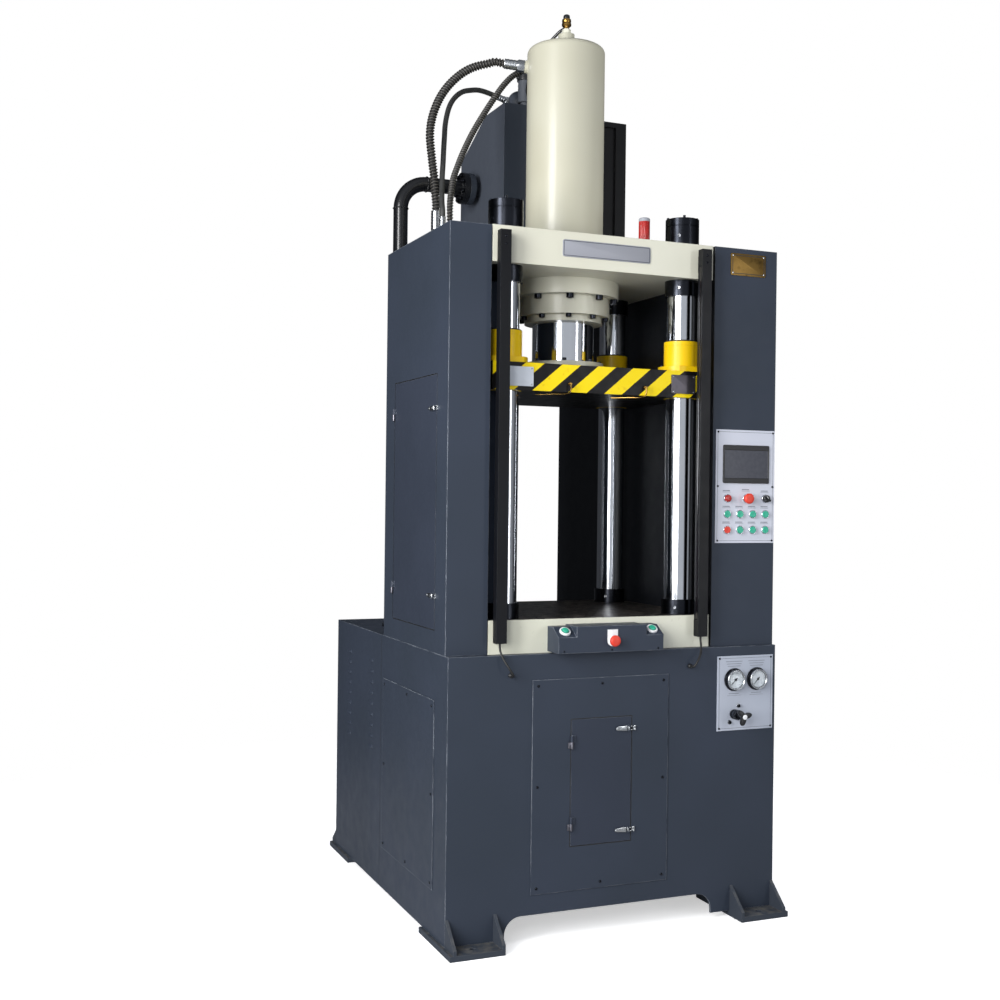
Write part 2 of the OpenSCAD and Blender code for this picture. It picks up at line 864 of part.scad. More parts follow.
module door_hardware() color(silver) {
    at_front_door() {
        for (z = [front_hinge_inset, door_h - front_hinge_inset]) hinge_fixed(z);
        for (z = [front_latch_inset, door_h - front_latch_inset]) latch_keeper(door_w, z);
    }
    at_left_door() {
        for (z = [left_hinge_inset, left_door_h - left_hinge_inset]) hinge_fixed(z);
        for (z = [left_latch_inset, left_door_h - left_latch_inset]) latch_keeper(left_door_w, z);
    }
}

// Press frame

module column_plate(z) {
    difference() {
        block([axis_x - plate_w / 2, axis_x + plate_w / 2], [upper_y, upper_y + plate_d], z);
        for (c = column_places) rod_z(c, [z[0] - cut, z[1] + cut], column_r + fit);
    }
}

// The bed's nuts stand in shallow spot faces
module bed() color(cream) in_frame() difference() {
    column_plate([base_h, bed_top]);
    for (c = column_places) rod_z(c, [bed_top - spot_deep, bed_top + cut], nut_d / 2 + spot_gap);
}

module crown() color(cream) in_frame() difference() {
    column_plate([crown_bottom, crown_top]);
    rod_z([axis_x, axis_y], [crown_bottom - cut, crown_top + cut], barrel_r + fit);
}

module columns() color(chrome) in_frame() {
    for (c = column_places) rod_z(c, [base_h - deck_t - bed_nut_h - column_over,
        crown_top + crown_nut_h + groove_h], column_r);
}

module round_nut(c, z) {
    middle = (z[0] + z[1]) / 2;
    turn = c[0] < axis_x ? nut_turn_left : nut_turn_right;
    difference() {
        rod_z(c, z, nut_d / 2);
        rod_z(c, [z[0] - cut, z[1] + cut], column_r + fit);
        for (a = [0 : 90 : 270]) translate([c[0], c[1], middle]) rotate([0, 90, a + turn])
            translate([0, 0, nut_d / 2 - tommy_deep / 2]) cylinder(h = tommy_deep, r = tommy_r,
                center = true);
    }
}

module lock_ring(c, z) {
    rod_z(c, [z, z + groove_h], nut_d / 2 - groove_deep);
    rod_z(c, [z + groove_h, z + lock_h], nut_d / 2);
    for (i = [0 : lock_screws - 1]) let (a = 360 / lock_screws * i + lock_turn)
        rod_z([c[0] + column_r * cos(a), c[1] + column_r * sin(a)],
            [z + lock_h, z + lock_h + lock_screw_h], lock_screw_r);
}

module column_nuts() color(black) in_frame() {
    for (c = column_places) {
        round_nut(c, [crown_top, crown_top + crown_nut_h]);
        difference() {
            lock_ring(c, crown_top + crown_nut_h);
            rod_z(c, [crown_top, crown_top + crown_nut_h + groove_h], column_r + fit);
        }
        round_nut(c, [crown_bottom - shoulder_nut_h, crown_bottom]);
        round_nut(c, [bed_top - spot_deep, bed_top + bed_nut_h]);
        round_nut(c, [base_h - deck_t - bed_nut_h, base_h - deck_t]);
    }
}

// Cylinder, ram and slide

module on_axis() {
    in_frame() translate([axis_x, axis_y, 0]) children();
}

module barrel_outline() {
    height = barrel_top - barrel_bottom;
    difference() {
        union() {
            square([barrel_r, height - barrel_round]);
            square([barrel_r - barrel_round, height]);
            translate([barrel_r - barrel_round, height - barrel_round]) circle(r = barrel_round);
            square([boss_r, height + boss_h]);
        }
        translate([0, -cut]) square([bore_d / 2, height - barrel_end_t + cut]);
        translate([-barrel_r, -cut]) square([barrel_r, height + boss_h + 2 * cut]);
    }
}

module cylinder_barrel() color(cream) union() {
    on_axis() translate([0, 0, barrel_bottom]) rotate_extrude() barrel_outline();
    in_frame() {
        port_boss(pressure_route[0], pressure_way(), pressure_d);
        port_boss(fill_corner(), fill_way(), fill_d);
    }
}

module mounting_flange() color(cream) on_axis() difference() {
    rod_z([0, 0], [barrel_bottom, crown_bottom], flange_d / 2);
    rod_z([0, 0], [barrel_bottom - cut, crown_bottom + cut], barrel_r + fit);
}

module gland_housing() color(cream) on_axis() difference() {
    union() {
        rod_z([0, 0], [gland_bottom, barrel_bottom], gland_d / 2);
        rod_z([0, 0], [gland_bottom - nose_h, gland_bottom], nose_d / 2);
    }
    rod_z([0, 0], [gland_bottom - nose_h - cut, barrel_bottom + cut], ram_r + fit);
}

module ram() color(chrome) on_axis() {
    rod_z([0, 0], [slide_top, piston_low], ram_r);
    rod_z([0, 0], [piston_low, piston_low + piston_h], bore_d / 2 - fit);
}

module ram_flange() color(cream) on_axis() difference() {
    rod_z([0, 0], [slide_top, slide_top + ram_flange_t], ram_flange_d / 2);
    rod_z([0, 0], [slide_top - cut, slide_top + ram_flange_t + cut], ram_r + fit);
}

module slide_plan(z) {
    block([axis_x - slide_w / 2, axis_x + slide_w / 2], [slide_front, slide_front + slide_d], z);
}

module slide() color(black) in_frame() difference() {
    slide_plan([slide_bottom, slide_top]);
    for (c = column_places) rod_z(c, [slide_bottom - cut, slide_top + cut], sleeve_r + fit);
}

module guide_sleeves() color(yellow) in_frame() {
    for (c = column_places) difference() {
        union() {
            rod_z(c, [slide_bottom, slide_top + sleeve_h], sleeve_r);
            intersection() {
                rod_z(c, [slide_top, slide_top + sleeve_flange_t], sleeve_flange_d / 2);
                slide_plan([slide_top - cut, slide_top + sleeve_h]);
            }
        }
        rod_z(c, [slide_bottom - cut, slide_top + sleeve_h + cut], column_r + fit);
    }
}

module slide_fittings() color(silver) in_frame() {
    for (s = [-1, 1]) {
        x = axis_x + s * label_dx;
        block([x - label_w / 2, x + label_w / 2], [slide_front - label_t, slide_front], [label_z,
            label_z + label_h]);
        rod_y(axis_x + nipple_shift + s * nipple_dx, slide_bottom + nipple_z,
            [slide_front - nipple_l, slide_front], nipple_r);
    }
    axis_heads(disc_bolts, ram_flange_d / 2 - disc_bolt_in,
        [slide_top + ram_flange_t, slide_top + ram_flange_t + disc_bolt_h], disc_bolt_r);
    for (c = column_places, s = [-1, 1]) let (d = (sleeve_flange_d / 2 + sleeve_r) / 2,
        in_x = c[0] < axis_x ? 1 : -1, in_y = c[1] < axis_y ? 1 : -1, a = 45 + s * 30)
        rod_z([c[0] + in_x * d * cos(a), c[1] + in_y * d * sin(a)],
            [slide_top + sleeve_flange_t, slide_top + sleeve_flange_t + sleeve_bolt_h], sleeve_bolt_r);
}

// Cabinets

module left_cabinet() color(slate) in_frame() {
    inner_x = [left_face + cabinet_t, left_cab_x - cabinet_t];
    inner_y = [upper_y + cabinet_t, upper_y + left_cab_d - cabinet_t];
    difference() {
        block([left_face, left_cab_x], [upper_y, upper_y + left_cab_d], [base_h, cabinet_top]);
        block(inner_x, inner_y, [base_h - cut, manifold_z - shelf_t]);
        block(inner_x, inner_y, [manifold_z, cabinet_top + cut]);
        block([left_face - cut, left_face + cabinet_t + cut],
            [left_door_y - door_gap, left_door_y + left_door_w + door_gap],
            [left_door_z - door_gap, left_door_z + left_door_h + door_gap]);
    }
}

module right_cabinet() color(slate) in_frame() difference() {
    block([right_cab_x, right_face], [right_setback, right_setback + right_cab_d], [base_h, cabinet_top]);
    block([right_cab_x + cabinet_t, right_face - cabinet_t],
        [right_setback + cabinet_t, right_setback + right_cab_d - cabinet_t],
        [base_h - cut, cabinet_top - cabinet_t]);
    block([panel_x - panel_w / 2 + panel_lap, panel_x + panel_w / 2 - panel_lap],
        [right_setback - cut, right_setback + cabinet_t + cut], [panel_z + panel_lap,
            panel_z + panel_h - panel_lap]);
}

// Operator panel

function button_place(col, row) = [button_left + col * button_dx, button_height[row]];
estop_place = [button_x, button_height[2]];
panel_places = concat([for (col = [0 : 3], row = [0, 1]) button_place(col, row)],
    [button_place(0, 2), button_place(3, 2), estop_place]);

module operator_panel() color(silver) in_frame() difference() {
    union() {
        block([panel_x - panel_w / 2, panel_x + panel_w / 2], [panel_front, right_setback], [panel_z,
            panel_z + panel_h]);
        for (p = panel_places) rod_y(p[0], p[1], [panel_front - collar_out, right_setback + collar_in],
            collar_r);
    }
    for (p = panel_places)
        rod_y(p[0], p[1], [panel_front - collar_out - cut, right_setback + collar_in + cut], cap_r + fit);
    block([screen_x - screen_w / 2 + screen_rim, screen_x + screen_w / 2 - screen_rim],
        [panel_front - cut, right_setback + cut], [screen_z + screen_rim,
            screen_z + screen_h - screen_rim]);
}

module touch_screen() color(black) in_frame() {
    block([screen_x - screen_w / 2, screen_x + screen_w / 2], [panel_front - screen_out, panel_front],
        [screen_z, screen_z + screen_h]);
    block([screen_x - screen_w / 2 + screen_rim, screen_x + screen_w / 2 - screen_rim],
        [panel_front, panel_front + screen_in], [screen_z + screen_rim, screen_z + screen_h - screen_rim]);
}

module push_cap(col, row) {
    in_frame() let (p = button_place(col, row)) rod_y(p[0], p[1], [panel_front - cap_out,
        right_setback + cap_in], cap_r);
}

module pump_start_button() color(green) push_cap(0, 1);
module slide_down_button() color(green) push_cap(1, 1);
module slide_up_button() color(green) push_cap(2, 1);
module auto_start_button() color(green) push_cap(3, 1);
module pump_stop_button() color(red) push_cap(0, 0);
module inch_down_button() color(green) push_cap(1, 0);
module inch_up_button() color(green) push_cap(2, 0);
module reset_button() color(green) push_cap(3, 0);

// A mushroom head on its stem, standing on +Z from the panel's face
module mushroom(head_r, reach, head_t, round_r, stem_in) {
    rotate_extrude() {
        translate([0, -stem_in]) square([cap_r, stem_in + reach - head_t / 2]);
        translate([0, reach - head_t]) square([head_r, head_t - round_r]);
        translate([0, reach - head_t]) square([head_r - round_r, head_t]);
        intersection() {
            translate([head_r - round_r, reach - round_r]) circle(r = round_r);
            square([head_r, reach]);
        }
    }
}

module panel_estop() color(red) in_frame()
    translate([estop_place[0], panel_front, estop_place[1]]) rotate([90, 0, 0])
        mushroom(estop_r, estop_reach, estop_cap_t, estop_round, panel_t + cap_in);

module mode_selector() color(black) in_frame() let (p = button_place(3, 2)) {
    rod_y(p[0], p[1], [panel_front - cap_out, right_setback + cap_in], cap_r);
    rod_y(p[0], p[1], [panel_front - cap_out - knob_bar_h, panel_front - collar_out - 2 * seat], knob_r);
    translate([p[0], panel_front - cap_out - knob_bar_h, p[1]]) rotate([0, 45, 0])
        block([-knob_bar_w / 2, knob_bar_w / 2], [-knob_bar_h, 0], [-knob_r, knob_r]);
}

module signal_lamps() color(red) in_frame() {
    p = button_place(0, 2);
    rod_y(p[0], p[1], [panel_front - collar_out, right_setback + cap_in], cap_r);
    rod_y(p[0], p[1], [panel_front - collar_out - lens_h, panel_front - collar_out], lens_r);
    rod_z([axis_x + beacon_dx, beacon_y], [crown_top, crown_top + beacon_h - beacon_cap_h], beacon_r);
    rod_z([axis_x + beacon_dx, beacon_y], [crown_top + beacon_h - beacon_cap_h, crown_top + beacon_h],
        beacon_r);
}

// Gauge panel

gauge_z = gauge_panel_z + gauge_dz;
valve_place = [gauge_panel_x + valve_dx, gauge_panel_z + valve_dz];

module gauge_panel() color(silver) in_frame() difference() {
    block([gauge_panel_x - gauge_panel_w / 2, gauge_panel_x + gauge_panel_w / 2], [-panel_t, 0],
        [gauge_panel_z, gauge_panel_z + gauge_panel_h]);
    for (s = [-1, 1]) rod_y(gauge_panel_x + s * gauge_dx, gauge_z, [-panel_t - cut, cut], gauge_r + fit);
    rod_y(valve_place[0], valve_place[1], [-panel_t - cut, cut], valve_neck_r + fit);
}

module gauge_cases() color(black) in_frame() for (s = [-1, 1]) {
    x = gauge_panel_x + s * gauge_dx;
    face = -panel_t - gauge_out;
    difference() {
        union() {
            rod_y(x, gauge_z, [-2 * panel_t, -panel_t], gauge_flange_r);
            rod_y(x, gauge_z, [face, gauge_in], gauge_r);
        }
        rod_y(x, gauge_z, [face - cut, face + gauge_recess], gauge_dial_r);
    }
    rod_y(x, gauge_z, [face + gauge_recess - needle_t - 3 * seat, face + gauge_recess], spindle_r);
}

module needle(s) {
    y = -panel_t - gauge_out + gauge_recess - seat;
    in_frame() translate([gauge_panel_x + s * gauge_dx, 0, gauge_z]) difference() {
        union() {
            rod_y(0, 0, [y - needle_t, y], needle_hub_r);
            rotate([0, needle_rest, 0]) along_y([y - needle_t, y])
                polygon([[-needle_w / 2, -needle_tail], [needle_w / 2, -needle_tail],
                    [needle_w / 6, needle_len], [-needle_w / 6, needle_len]]);
        }
        rod_y(0, 0, [y - cut, y + cut], spindle_r + fit);
    }
}

module needle_left() color(black) needle(-1);
module needle_right() color(black) needle(1);

module throttle_handle() color(black) in_frame() translate([valve_place[0], -panel_t, valve_place[1]]) {
    rod_y(0, 0, [-handle_y - handle_t, panel_t + valve_body_d / 2], handle_shaft_r);
    rod_y(0, 0, [-handle_y - handle_t, -handle_y], handle_hub_r);
    for (a = [-15 : 120 : 225]) rotate([0, a, 0]) {
        block([handle_hub_r / 2, handle_reach], [-handle_y - handle_t + seat, -handle_y - seat],
            [-handle_arm_w / 2, handle_arm_w / 2]);
        rod_y(handle_reach, 0, [-handle_y - handle_t + 2 * seat, -handle_y - 2 * seat], handle_lobe_r);
    }
}

// Plates, box and posts

module nameplates() color(brass) in_frame() {
    block([brass_x - brass_w / 2, brass_x + brass_w / 2], [panel_front, right_setback], [brass_z,
        brass_z + brass_h]);
    block([axis_x - crown_plate_w / 2, axis_x + crown_plate_w / 2], [upper_y - panel_t, upper_y],
        [crown_plate_z, crown_plate_z + crown_plate_h]);
}

module wing_outline(inset) {
    polygon([[box_front + inset, inset], [box_d + box_front, inset], [box_d + box_front, wing_top - inset],
        [box_d + box_front - wing_flat, wing_top - inset], [box_front + inset, wing_front - inset]]);
}

palm_places = [for (s = [-1, 1]) [box_x + s * (box_block_w + wing_w) / 2,
    box_front + (box_d - wing_flat) / 2, box_z + (wing_top + wing_front) / 2]];

module at_palm(i) {
    translate(palm_places[i]) rotate([wing_slope, 0, 0]) children();
}

module shield_outline() {
    translate([-shield_w / 2, 0]) square([shield_w, shield_h - shield_w / 2]);
    circle(d = shield_w);
}

module two_hand_box() color(slate) in_frame() difference() {
    union() {
        difference() {
            union() {
                block([box_x - box_block_w / 2, box_x + box_block_w / 2], [box_front, upper_y], [box_z,
                    box_z + box_h]);
                translate([0, 0, box_z]) along_x([box_x - box_w / 2, box_x + box_w / 2]) wing_outline(0);
            }
            block([box_x - box_block_w / 2 + box_wall, box_x + box_block_w / 2 - box_wall],
                [box_front + box_wall, upper_y + cut], [box_z + box_wall, box_z + box_h - box_wall]);
            for (s = [-1, 1]) let (x = box_x + s * (box_block_w + wing_w) / 2)
                translate([0, 0, box_z])
                    along_x([x - wing_w / 2 + box_wall, x + wing_w / 2 - box_wall]) wing_outline(box_wall);
        }
        for (i = [0, 1]) at_palm(i) rod_z([0, 0], [-box_wall, palm_guard_h], palm_guard_r);
        translate([box_x + box_estop_dx, 0, box_z + box_estop_dz])
            along_y([box_front - shield_t, box_front]) shield_outline();
        rod_y(box_x + box_estop_dx, box_z + box_estop_dz, [box_front - shield_t - collar_out,
            box_front + box_wall],
            collar_r);
    }
    for (i = [0, 1]) at_palm(i) rod_z([0, 0], [-cap_in, palm_guard_h + cut], cap_r + fit);
    rod_y(box_x + box_estop_dx, box_z + box_estop_dz, [box_front - shield_t - collar_out - cut,
        box_front + cut],
        cap_r + fit);
}

module palm_button(i) {
    in_frame() at_palm(i) mushroom(palm_r, palm_out, palm_cap_t, palm_cap_t / 2, box_wall + 2 * seat);
}

module palm_button_left() color(green) palm_button(0);
module palm_button_right() color(green) palm_button(1);

module two_hand_estop() color(red) in_frame()
    translate([box_x + box_estop_dx, box_front, box_z + box_estop_dz]) rotate([90, 0, 0])
        mushroom(estop_r, estop_reach, estop_cap_t, estop_round, cap_in);

module post(dx, side) {
    x = axis_x + dx;
    y1 = upper_y - post_gap;
    difference() {
        block([x - post_w / 2, x + post_w / 2], [y1 - post_d, y1], [post_bottom, post_top]);
        translate([x - side * post_w / 2, 0, 0])
            block([-post_slot_d, post_slot_d], [y1 - post_d / 2 - post_slot_w / 2,
                y1 - post_d / 2 + post_slot_w / 2],
                [post_bottom + bracket_h, post_top - bracket_h]);
    }
    for (z = [post_bottom + seat, crown_bottom + bracket_w])
        block([x - bracket_w / 2, x + bracket_w / 2], [y1, upper_y], [z, z + bracket_h]);
}

module curtain_posts() color(black) in_frame() {
    post(post_left_dx, -1);
    post(post_right_dx, 1);
}

// Oil system

module tank_outline(inset) {
    back = tank_y + tank_d - inset;
    top = tank_top - inset;
    polygon([[tank_y + inset, tank_z + inset], [back, tank_z + inset], [back,
        tank_top - tank_chamfer_z - inset],
        [tank_y + tank_d - tank_chamfer_y - inset, top], [tank_y + inset, top]]);
}

module tank_arm(x) {
    front = axis_y + plate_d / 2;
    block([x, x + arm_w], [front - arm_over, tank_y + tank_d], [crown_top, tank_z]);
    along_x([x + (arm_w - arm_gusset_t) / 2, x + (arm_w + arm_gusset_t) / 2])
        polygon([[front, crown_top], [tank_y + tank_d, crown_top], [front, crown_top - arm_gusset_h]]);
}

// A narrow box on the tank's right side, with a sunk front
module side_box(x) {
    y = tank_y + side_box_back;
    top = tank_top - side_box_drop;
    difference() {
        block([x, x + side_box_w], [y, y + side_box_d], [tank_z, top]);
        block([x + tank_wall, x + side_box_w - tank_wall],
            [y + side_box_deep + tank_wall, y + side_box_d - tank_wall],
            [tank_z + tank_wall, top - tank_wall]);
        block([x + tank_wall, x + side_box_w - side_box_post], [y - cut, y + side_box_deep],
            [tank_z + side_box_frame, top - side_box_frame]);
    }
}

module oil_tank() color(slate) in_frame() {
    x1 = tank_x + tank_w;
    nozzle = [tank_x - stub_l, tank_x];
    difference() {
        union() {
            along_x([tank_x, x1]) tank_outline(0);
            rod_x(riser_y, riser_z, nozzle, riser_d / 2);
            rod_x(riser_y, riser_z, [nozzle[0], nozzle[0] + pipe_flange_t], pipe_flange_d / 2);
            translate([tank_x + dome_dx, tank_y + dome_dy, tank_top]) rotate_extrude() {
                square([dome_r, dome_h - dome_r]);
                intersection() {
                    translate([0, dome_h - dome_r]) circle(r = dome_r);
                    square([dome_r, dome_h]);
                }
            }
        }
        along_x([tank_x + tank_wall, x1 - tank_wall]) tank_outline(tank_wall);
        rod_x(riser_y, riser_z, [nozzle[0] - cut, tank_x + tank_wall + cut], riser_d / 2 - riser_wall);
    }
    side_box(x1);
    for (s = [-1, 1]) tank_arm(axis_x + s * arm_dx - arm_w / 2);
}

module breather() color(silver) in_frame()
    translate([tank_x + breather_dx, tank_y + breather_dy, tank_top]) rotate_extrude() {
        square([breather_neck_r, breather_h]);
        translate([0, breather_neck_h]) square([breather_r, breather_h - breather_neck_h - breather_cap_h]);
        translate([0, breather_h - breather_cap_h])
            square([breather_r + breather_cap_over, breather_cap_h]);
    }

module riser_ring() {
    difference() {
        circle(d = riser_d);
        circle(r = riser_d / 2 - riser_wall);
    }
}

module riser_pipe() color(black) in_frame() {
    turn_z = riser_z - riser_bend;
    end_x = tank_x - stub_l;
    translate([riser_x, riser_y, base_h]) linear_extrude(turn_z - base_h) riser_ring();
    translate([riser_x + riser_bend, riser_y, turn_z]) rotate([90, 0, 0])
        rotate([0, 0, 90]) rotate_extrude(angle = 90) translate([riser_bend, 0]) riser_ring();
    translate([riser_x + riser_bend, riser_y, riser_z]) rotate([0, 90, 0])
        linear_extrude(end_x - riser_x - riser_bend) riser_ring();
    difference() {
        union() {
            rod_x(riser_y, riser_z, [end_x - pipe_flange_t, end_x], pipe_flange_d / 2);
            rod_z([riser_x, riser_y], [base_h, base_h + riser_base_t], riser_base_r);
        }
        rod_x(riser_y, riser_z, [end_x - pipe_flange_t - cut, end_x + cut], riser_d / 2 - riser_wall);
        rod_z([riser_x, riser_y], [base_h - cut, base_h + riser_base_t + cut], riser_d / 2 - riser_wall);
    }
}

// A hose end: a nut against its seat and a smooth ferrule up to the hose
module hose_end(d, length) {
    cylinder(h = hose_nut_h, d = d + 2 * nut_over, $fn = 6);
    cylinder(h = length, d = d + 2 * ferrule_over);
}

module manifold_post(y, top, d) {
    base = manifold_z + manifold_h;
    translate([hose_x, y, base]) hose_end(d, top - base);
}

module hose_end_back(d, reach) {
    cylinder(h = reach, d = d + 2 * ferrule_over);
    translate([0, 0, reach - hose_nut_h]) cylinder(h = hose_nut_h, d = d + 2 * nut_over, $fn = 6);
}

// The direction in which a hose's first end points, and a route's end
function first_way(route) = unit(route[0] - route[1]);
function last(route) = route[len(route) - 1];

// A port's way in to the barrel: its start, its direction and how far it runs to its weld boss
function pressure_way() = first_way(pressure_route);
function fill_corner() = fill_route[0] + elbow_reach * first_way(fill_route);
function fill_way() = let (p = fill_corner()) unit([axis_x - p[0], axis_y - p[1], 0]);
function port_reach(p) = norm([p[0] - axis_x, p[1] - axis_y]) - barrel_r - port_boss_out;

module port_boss(p, way, d) {
    aim(p + port_reach(p) * way, way)
        cylinder(h = port_boss_out + (barrel_r - bore_d / 2) / 2, d = d + 2 * nut_over + 2 * port_boss_rim);
}

module pressure_port() {
    p = pressure_route[0];
    aim(p, pressure_way()) hose_end_back(pressure_d, port_reach(p));
}

module fill_port() {
    corner = fill_corner();
    aim(fill_route[0], first_way(fill_route)) cylinder(h = elbow_reach, d = fill_d + 2 * ferrule_over);
    translate(corner) sphere(d = fill_d + 2 * ferrule_over);
    aim(corner, fill_way()) hose_end_back(fill_d, port_reach(corner));
}

module return_port() {
    top = return_route[0] + return_reach * first_way(return_route);
    aim(return_route[0], first_way(return_route)) cylinder(h = return_reach, d = return_d + 2 * ferrule_over);
    rod_z(top, [tank_top, top[2] + return_d / 2 + ferrule_over], return_d / 2 + 2 * ferrule_over);
}

module bleed_tower(i, z) {
    if (i < len(bleed_stack)) {
        rod_z([axis_x, axis_y], [z, z + bleed_stack[i][1]], bleed_stack[i][0]);
        bleed_tower(i + 1, z + bleed_stack[i][1]);
    }
}

module hose_fittings() color(silver) in_frame() {
    manifold_post(last(pressure_route)[1], last(pressure_route)[2], pressure_d);
    manifold_post(last(return_route)[1], last(return_route)[2], return_d);
    manifold_post(last(fill_route)[1], last(fill_route)[2], fill_d);
    pressure_port();
    fill_port();
    return_port();
    bleed_tower(0, bleed_base);
    tube_along(bleed_route, bleed_d);
    let (p = last(bleed_route)) rod_z(p, [tank_top, p[2] + bleed_d], bleed_d);
    for (p = [last(cable_left_route), last(cable_right_route)])
        rod_y(p[0], p[2], [p[1], p[1] + cable_gland_l], cable_gland_r);
}

module pressure_hose() color(black) in_frame() tube_along(pressure_route, pressure_d);
module return_hose() color(black) in_frame() tube_along(return_route, return_d);
module fill_hose() color(black) in_frame() tube_along(fill_route, fill_d);
module curtain_cable_left() color(black) in_frame() tube_along(cable_left_route, cable_d, 8);
module curtain_cable_right() color(black) in_frame() tube_along(cable_right_route, cable_d, 8);

module hydraulic_unit() color(slate) in_frame() {
    tray_top = tray_z + tray_t;
    motor_z = tray_top + motor_foot_h + motor_r;
    x0 = axis_x - motor_l / 2;
    x1 = axis_x + motor_l / 2;
    block([hose_x - manifold_w / 2, hose_x + manifold_w / 2], manifold_y, [manifold_z,
        manifold_z + manifold_h]);
    block([x0 + motor_foot_h, x1 - motor_foot_h], [motor_y - motor_foot_w / 2, motor_y + motor_foot_w / 2],
        [tray_top, motor_z]);
    rod_x(motor_y, motor_z, [x0, x1], motor_r);
    rod_x(motor_y, motor_z, [x1, x1 + bell_l], bell_r);
    rod_x(motor_y, motor_z, [x1 + bell_l, x1 + bell_l + pump_l], pump_r);
    difference() {
        union() {
            block([valve_place[0] - valve_body_w / 2, valve_place[0] + valve_body_w / 2], [0, valve_body_d],
                [valve_place[1] - valve_body_w / 2, valve_place[1] + valve_body_w / 2]);
            rod_y(valve_place[0], valve_place[1], [-panel_t - valve_neck_l, 0], valve_neck_r);
        }
        rod_y(valve_place[0], valve_place[1], [-panel_t - valve_neck_l - cut, valve_body_d / 2 + cut],
            handle_shaft_r + fit);
    }
}

// Screw and bolt heads that stay with the frame

module fasteners() color(black) in_frame() {
    corner_heads([cover_x - cover_w / 2, cover_x + cover_w / 2], [cover_z, cover_z + cover_h], screw_in,
        -cover_t,
        3, 3, screw_r, screw_h);
    translate([-half_w, 0, 0]) rotate([0, 0, -90])
        corner_heads([-side_cover_y - side_cover_w, -side_cover_y], [side_cover_z,
            side_cover_z + side_cover_h],
            screw_in, -cover_t, 3, 3, screw_r, screw_h);
    corner_heads([panel_x - panel_w / 2, panel_x + panel_w / 2], [panel_z, panel_z + panel_h],
        small_screw_in,
        panel_front, 2, 3, small_screw_r, small_screw_h);
    corner_heads([gauge_panel_x - gauge_panel_w / 2, gauge_panel_x + gauge_panel_w / 2],
        [gauge_panel_z, gauge_panel_z + gauge_panel_h], small_screw_in, -panel_t, 2, 2, small_screw_r,
            small_screw_h);
    corner_heads([brass_x - brass_w / 2, brass_x + brass_w / 2], [brass_z, brass_z + brass_h],
        small_screw_in,
        panel_front, 2, 2, small_screw_r, small_screw_h);
    for (s = [-1, 1]) rod_y(valve_place[0] + s * valve_neck_r * valve_bolt_x_share,
        valve_place[1] + s * valve_neck_r * valve_bolt_z_share, [-panel_t - screw_h, -panel_t], screw_r);
    axis_heads(ring_bolts, flange_d / 2 - flange_bolt_in, [barrel_bottom - flange_bolt_h, barrel_bottom],
        flange_bolt_r);
    axis_heads(ring_bolts, gland_d / 2 - gland_bolt_in, [gland_bottom - gland_bolt_h, gland_bottom],
        gland_bolt_r);
    for (i = [0 : pipe_bolts - 1]) let (a = 360 / pipe_bolts * (i + 0.5),
        d = pipe_flange_d / 2 - pipe_bolt_in,
        x = tank_x - stub_l - pipe_flange_t)
        rod_x(riser_y + d * cos(a), riser_z + d * sin(a), [x - pipe_bolt_h, x], pipe_bolt_r);
}

base_frame();
feet();
front_cover();
side_cover();
fasteners();
door_hardware();
bed();
columns();
column_nuts();
crown();
cylinder_barrel();
mounting_flange();
gland_housing();
left_cabinet();
right_cabinet();
operator_panel();
touch_screen();
signal_lamps();
gauge_panel();
gauge_cases();
nameplates();
two_hand_box();
curtain_posts();
pressure_hose();
return_hose();
fill_hose();
curtain_cable_left();
curtain_cable_right();
hose_fittings();
oil_tank();
breather();
riser_pipe();
hydraulic_unit();
slide();
ram();
ram_flange();
guide_sleeves();
slide_fittings();
front_door();
front_latch_upper();
front_latch_lower();
left_door();
left_latch_upper();
left_latch_lower();
panel_estop();
mode_selector();
pump_start_button();
slide_down_button();
slide_up_button();
auto_start_button();
pump_stop_button();
inch_down_button();
inch_up_button();
reset_button();
palm_button_left();
palm_button_right();
two_hand_estop();
throttle_handle();
needle_left();
needle_right();
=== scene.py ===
import math

import bpy
import numpy as np
from mathutils import Matrix


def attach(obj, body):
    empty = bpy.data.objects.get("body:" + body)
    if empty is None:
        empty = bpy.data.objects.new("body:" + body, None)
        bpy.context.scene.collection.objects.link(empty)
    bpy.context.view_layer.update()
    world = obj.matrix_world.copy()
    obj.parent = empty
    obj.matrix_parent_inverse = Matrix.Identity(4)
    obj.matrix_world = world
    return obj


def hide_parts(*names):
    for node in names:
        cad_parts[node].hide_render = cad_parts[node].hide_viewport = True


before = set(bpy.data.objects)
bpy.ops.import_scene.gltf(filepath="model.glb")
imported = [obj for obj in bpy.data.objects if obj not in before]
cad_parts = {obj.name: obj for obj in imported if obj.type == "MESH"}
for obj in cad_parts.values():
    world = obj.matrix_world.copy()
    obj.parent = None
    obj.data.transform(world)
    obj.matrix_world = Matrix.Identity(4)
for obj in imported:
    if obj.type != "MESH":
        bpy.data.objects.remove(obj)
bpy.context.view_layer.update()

MM = 0.001
FRAME_Y = 688.0  # the frame's origin lies this far behind the base's front plane, in mm
TAU = 2 * math.pi
X, Y, Z = np.eye(3)

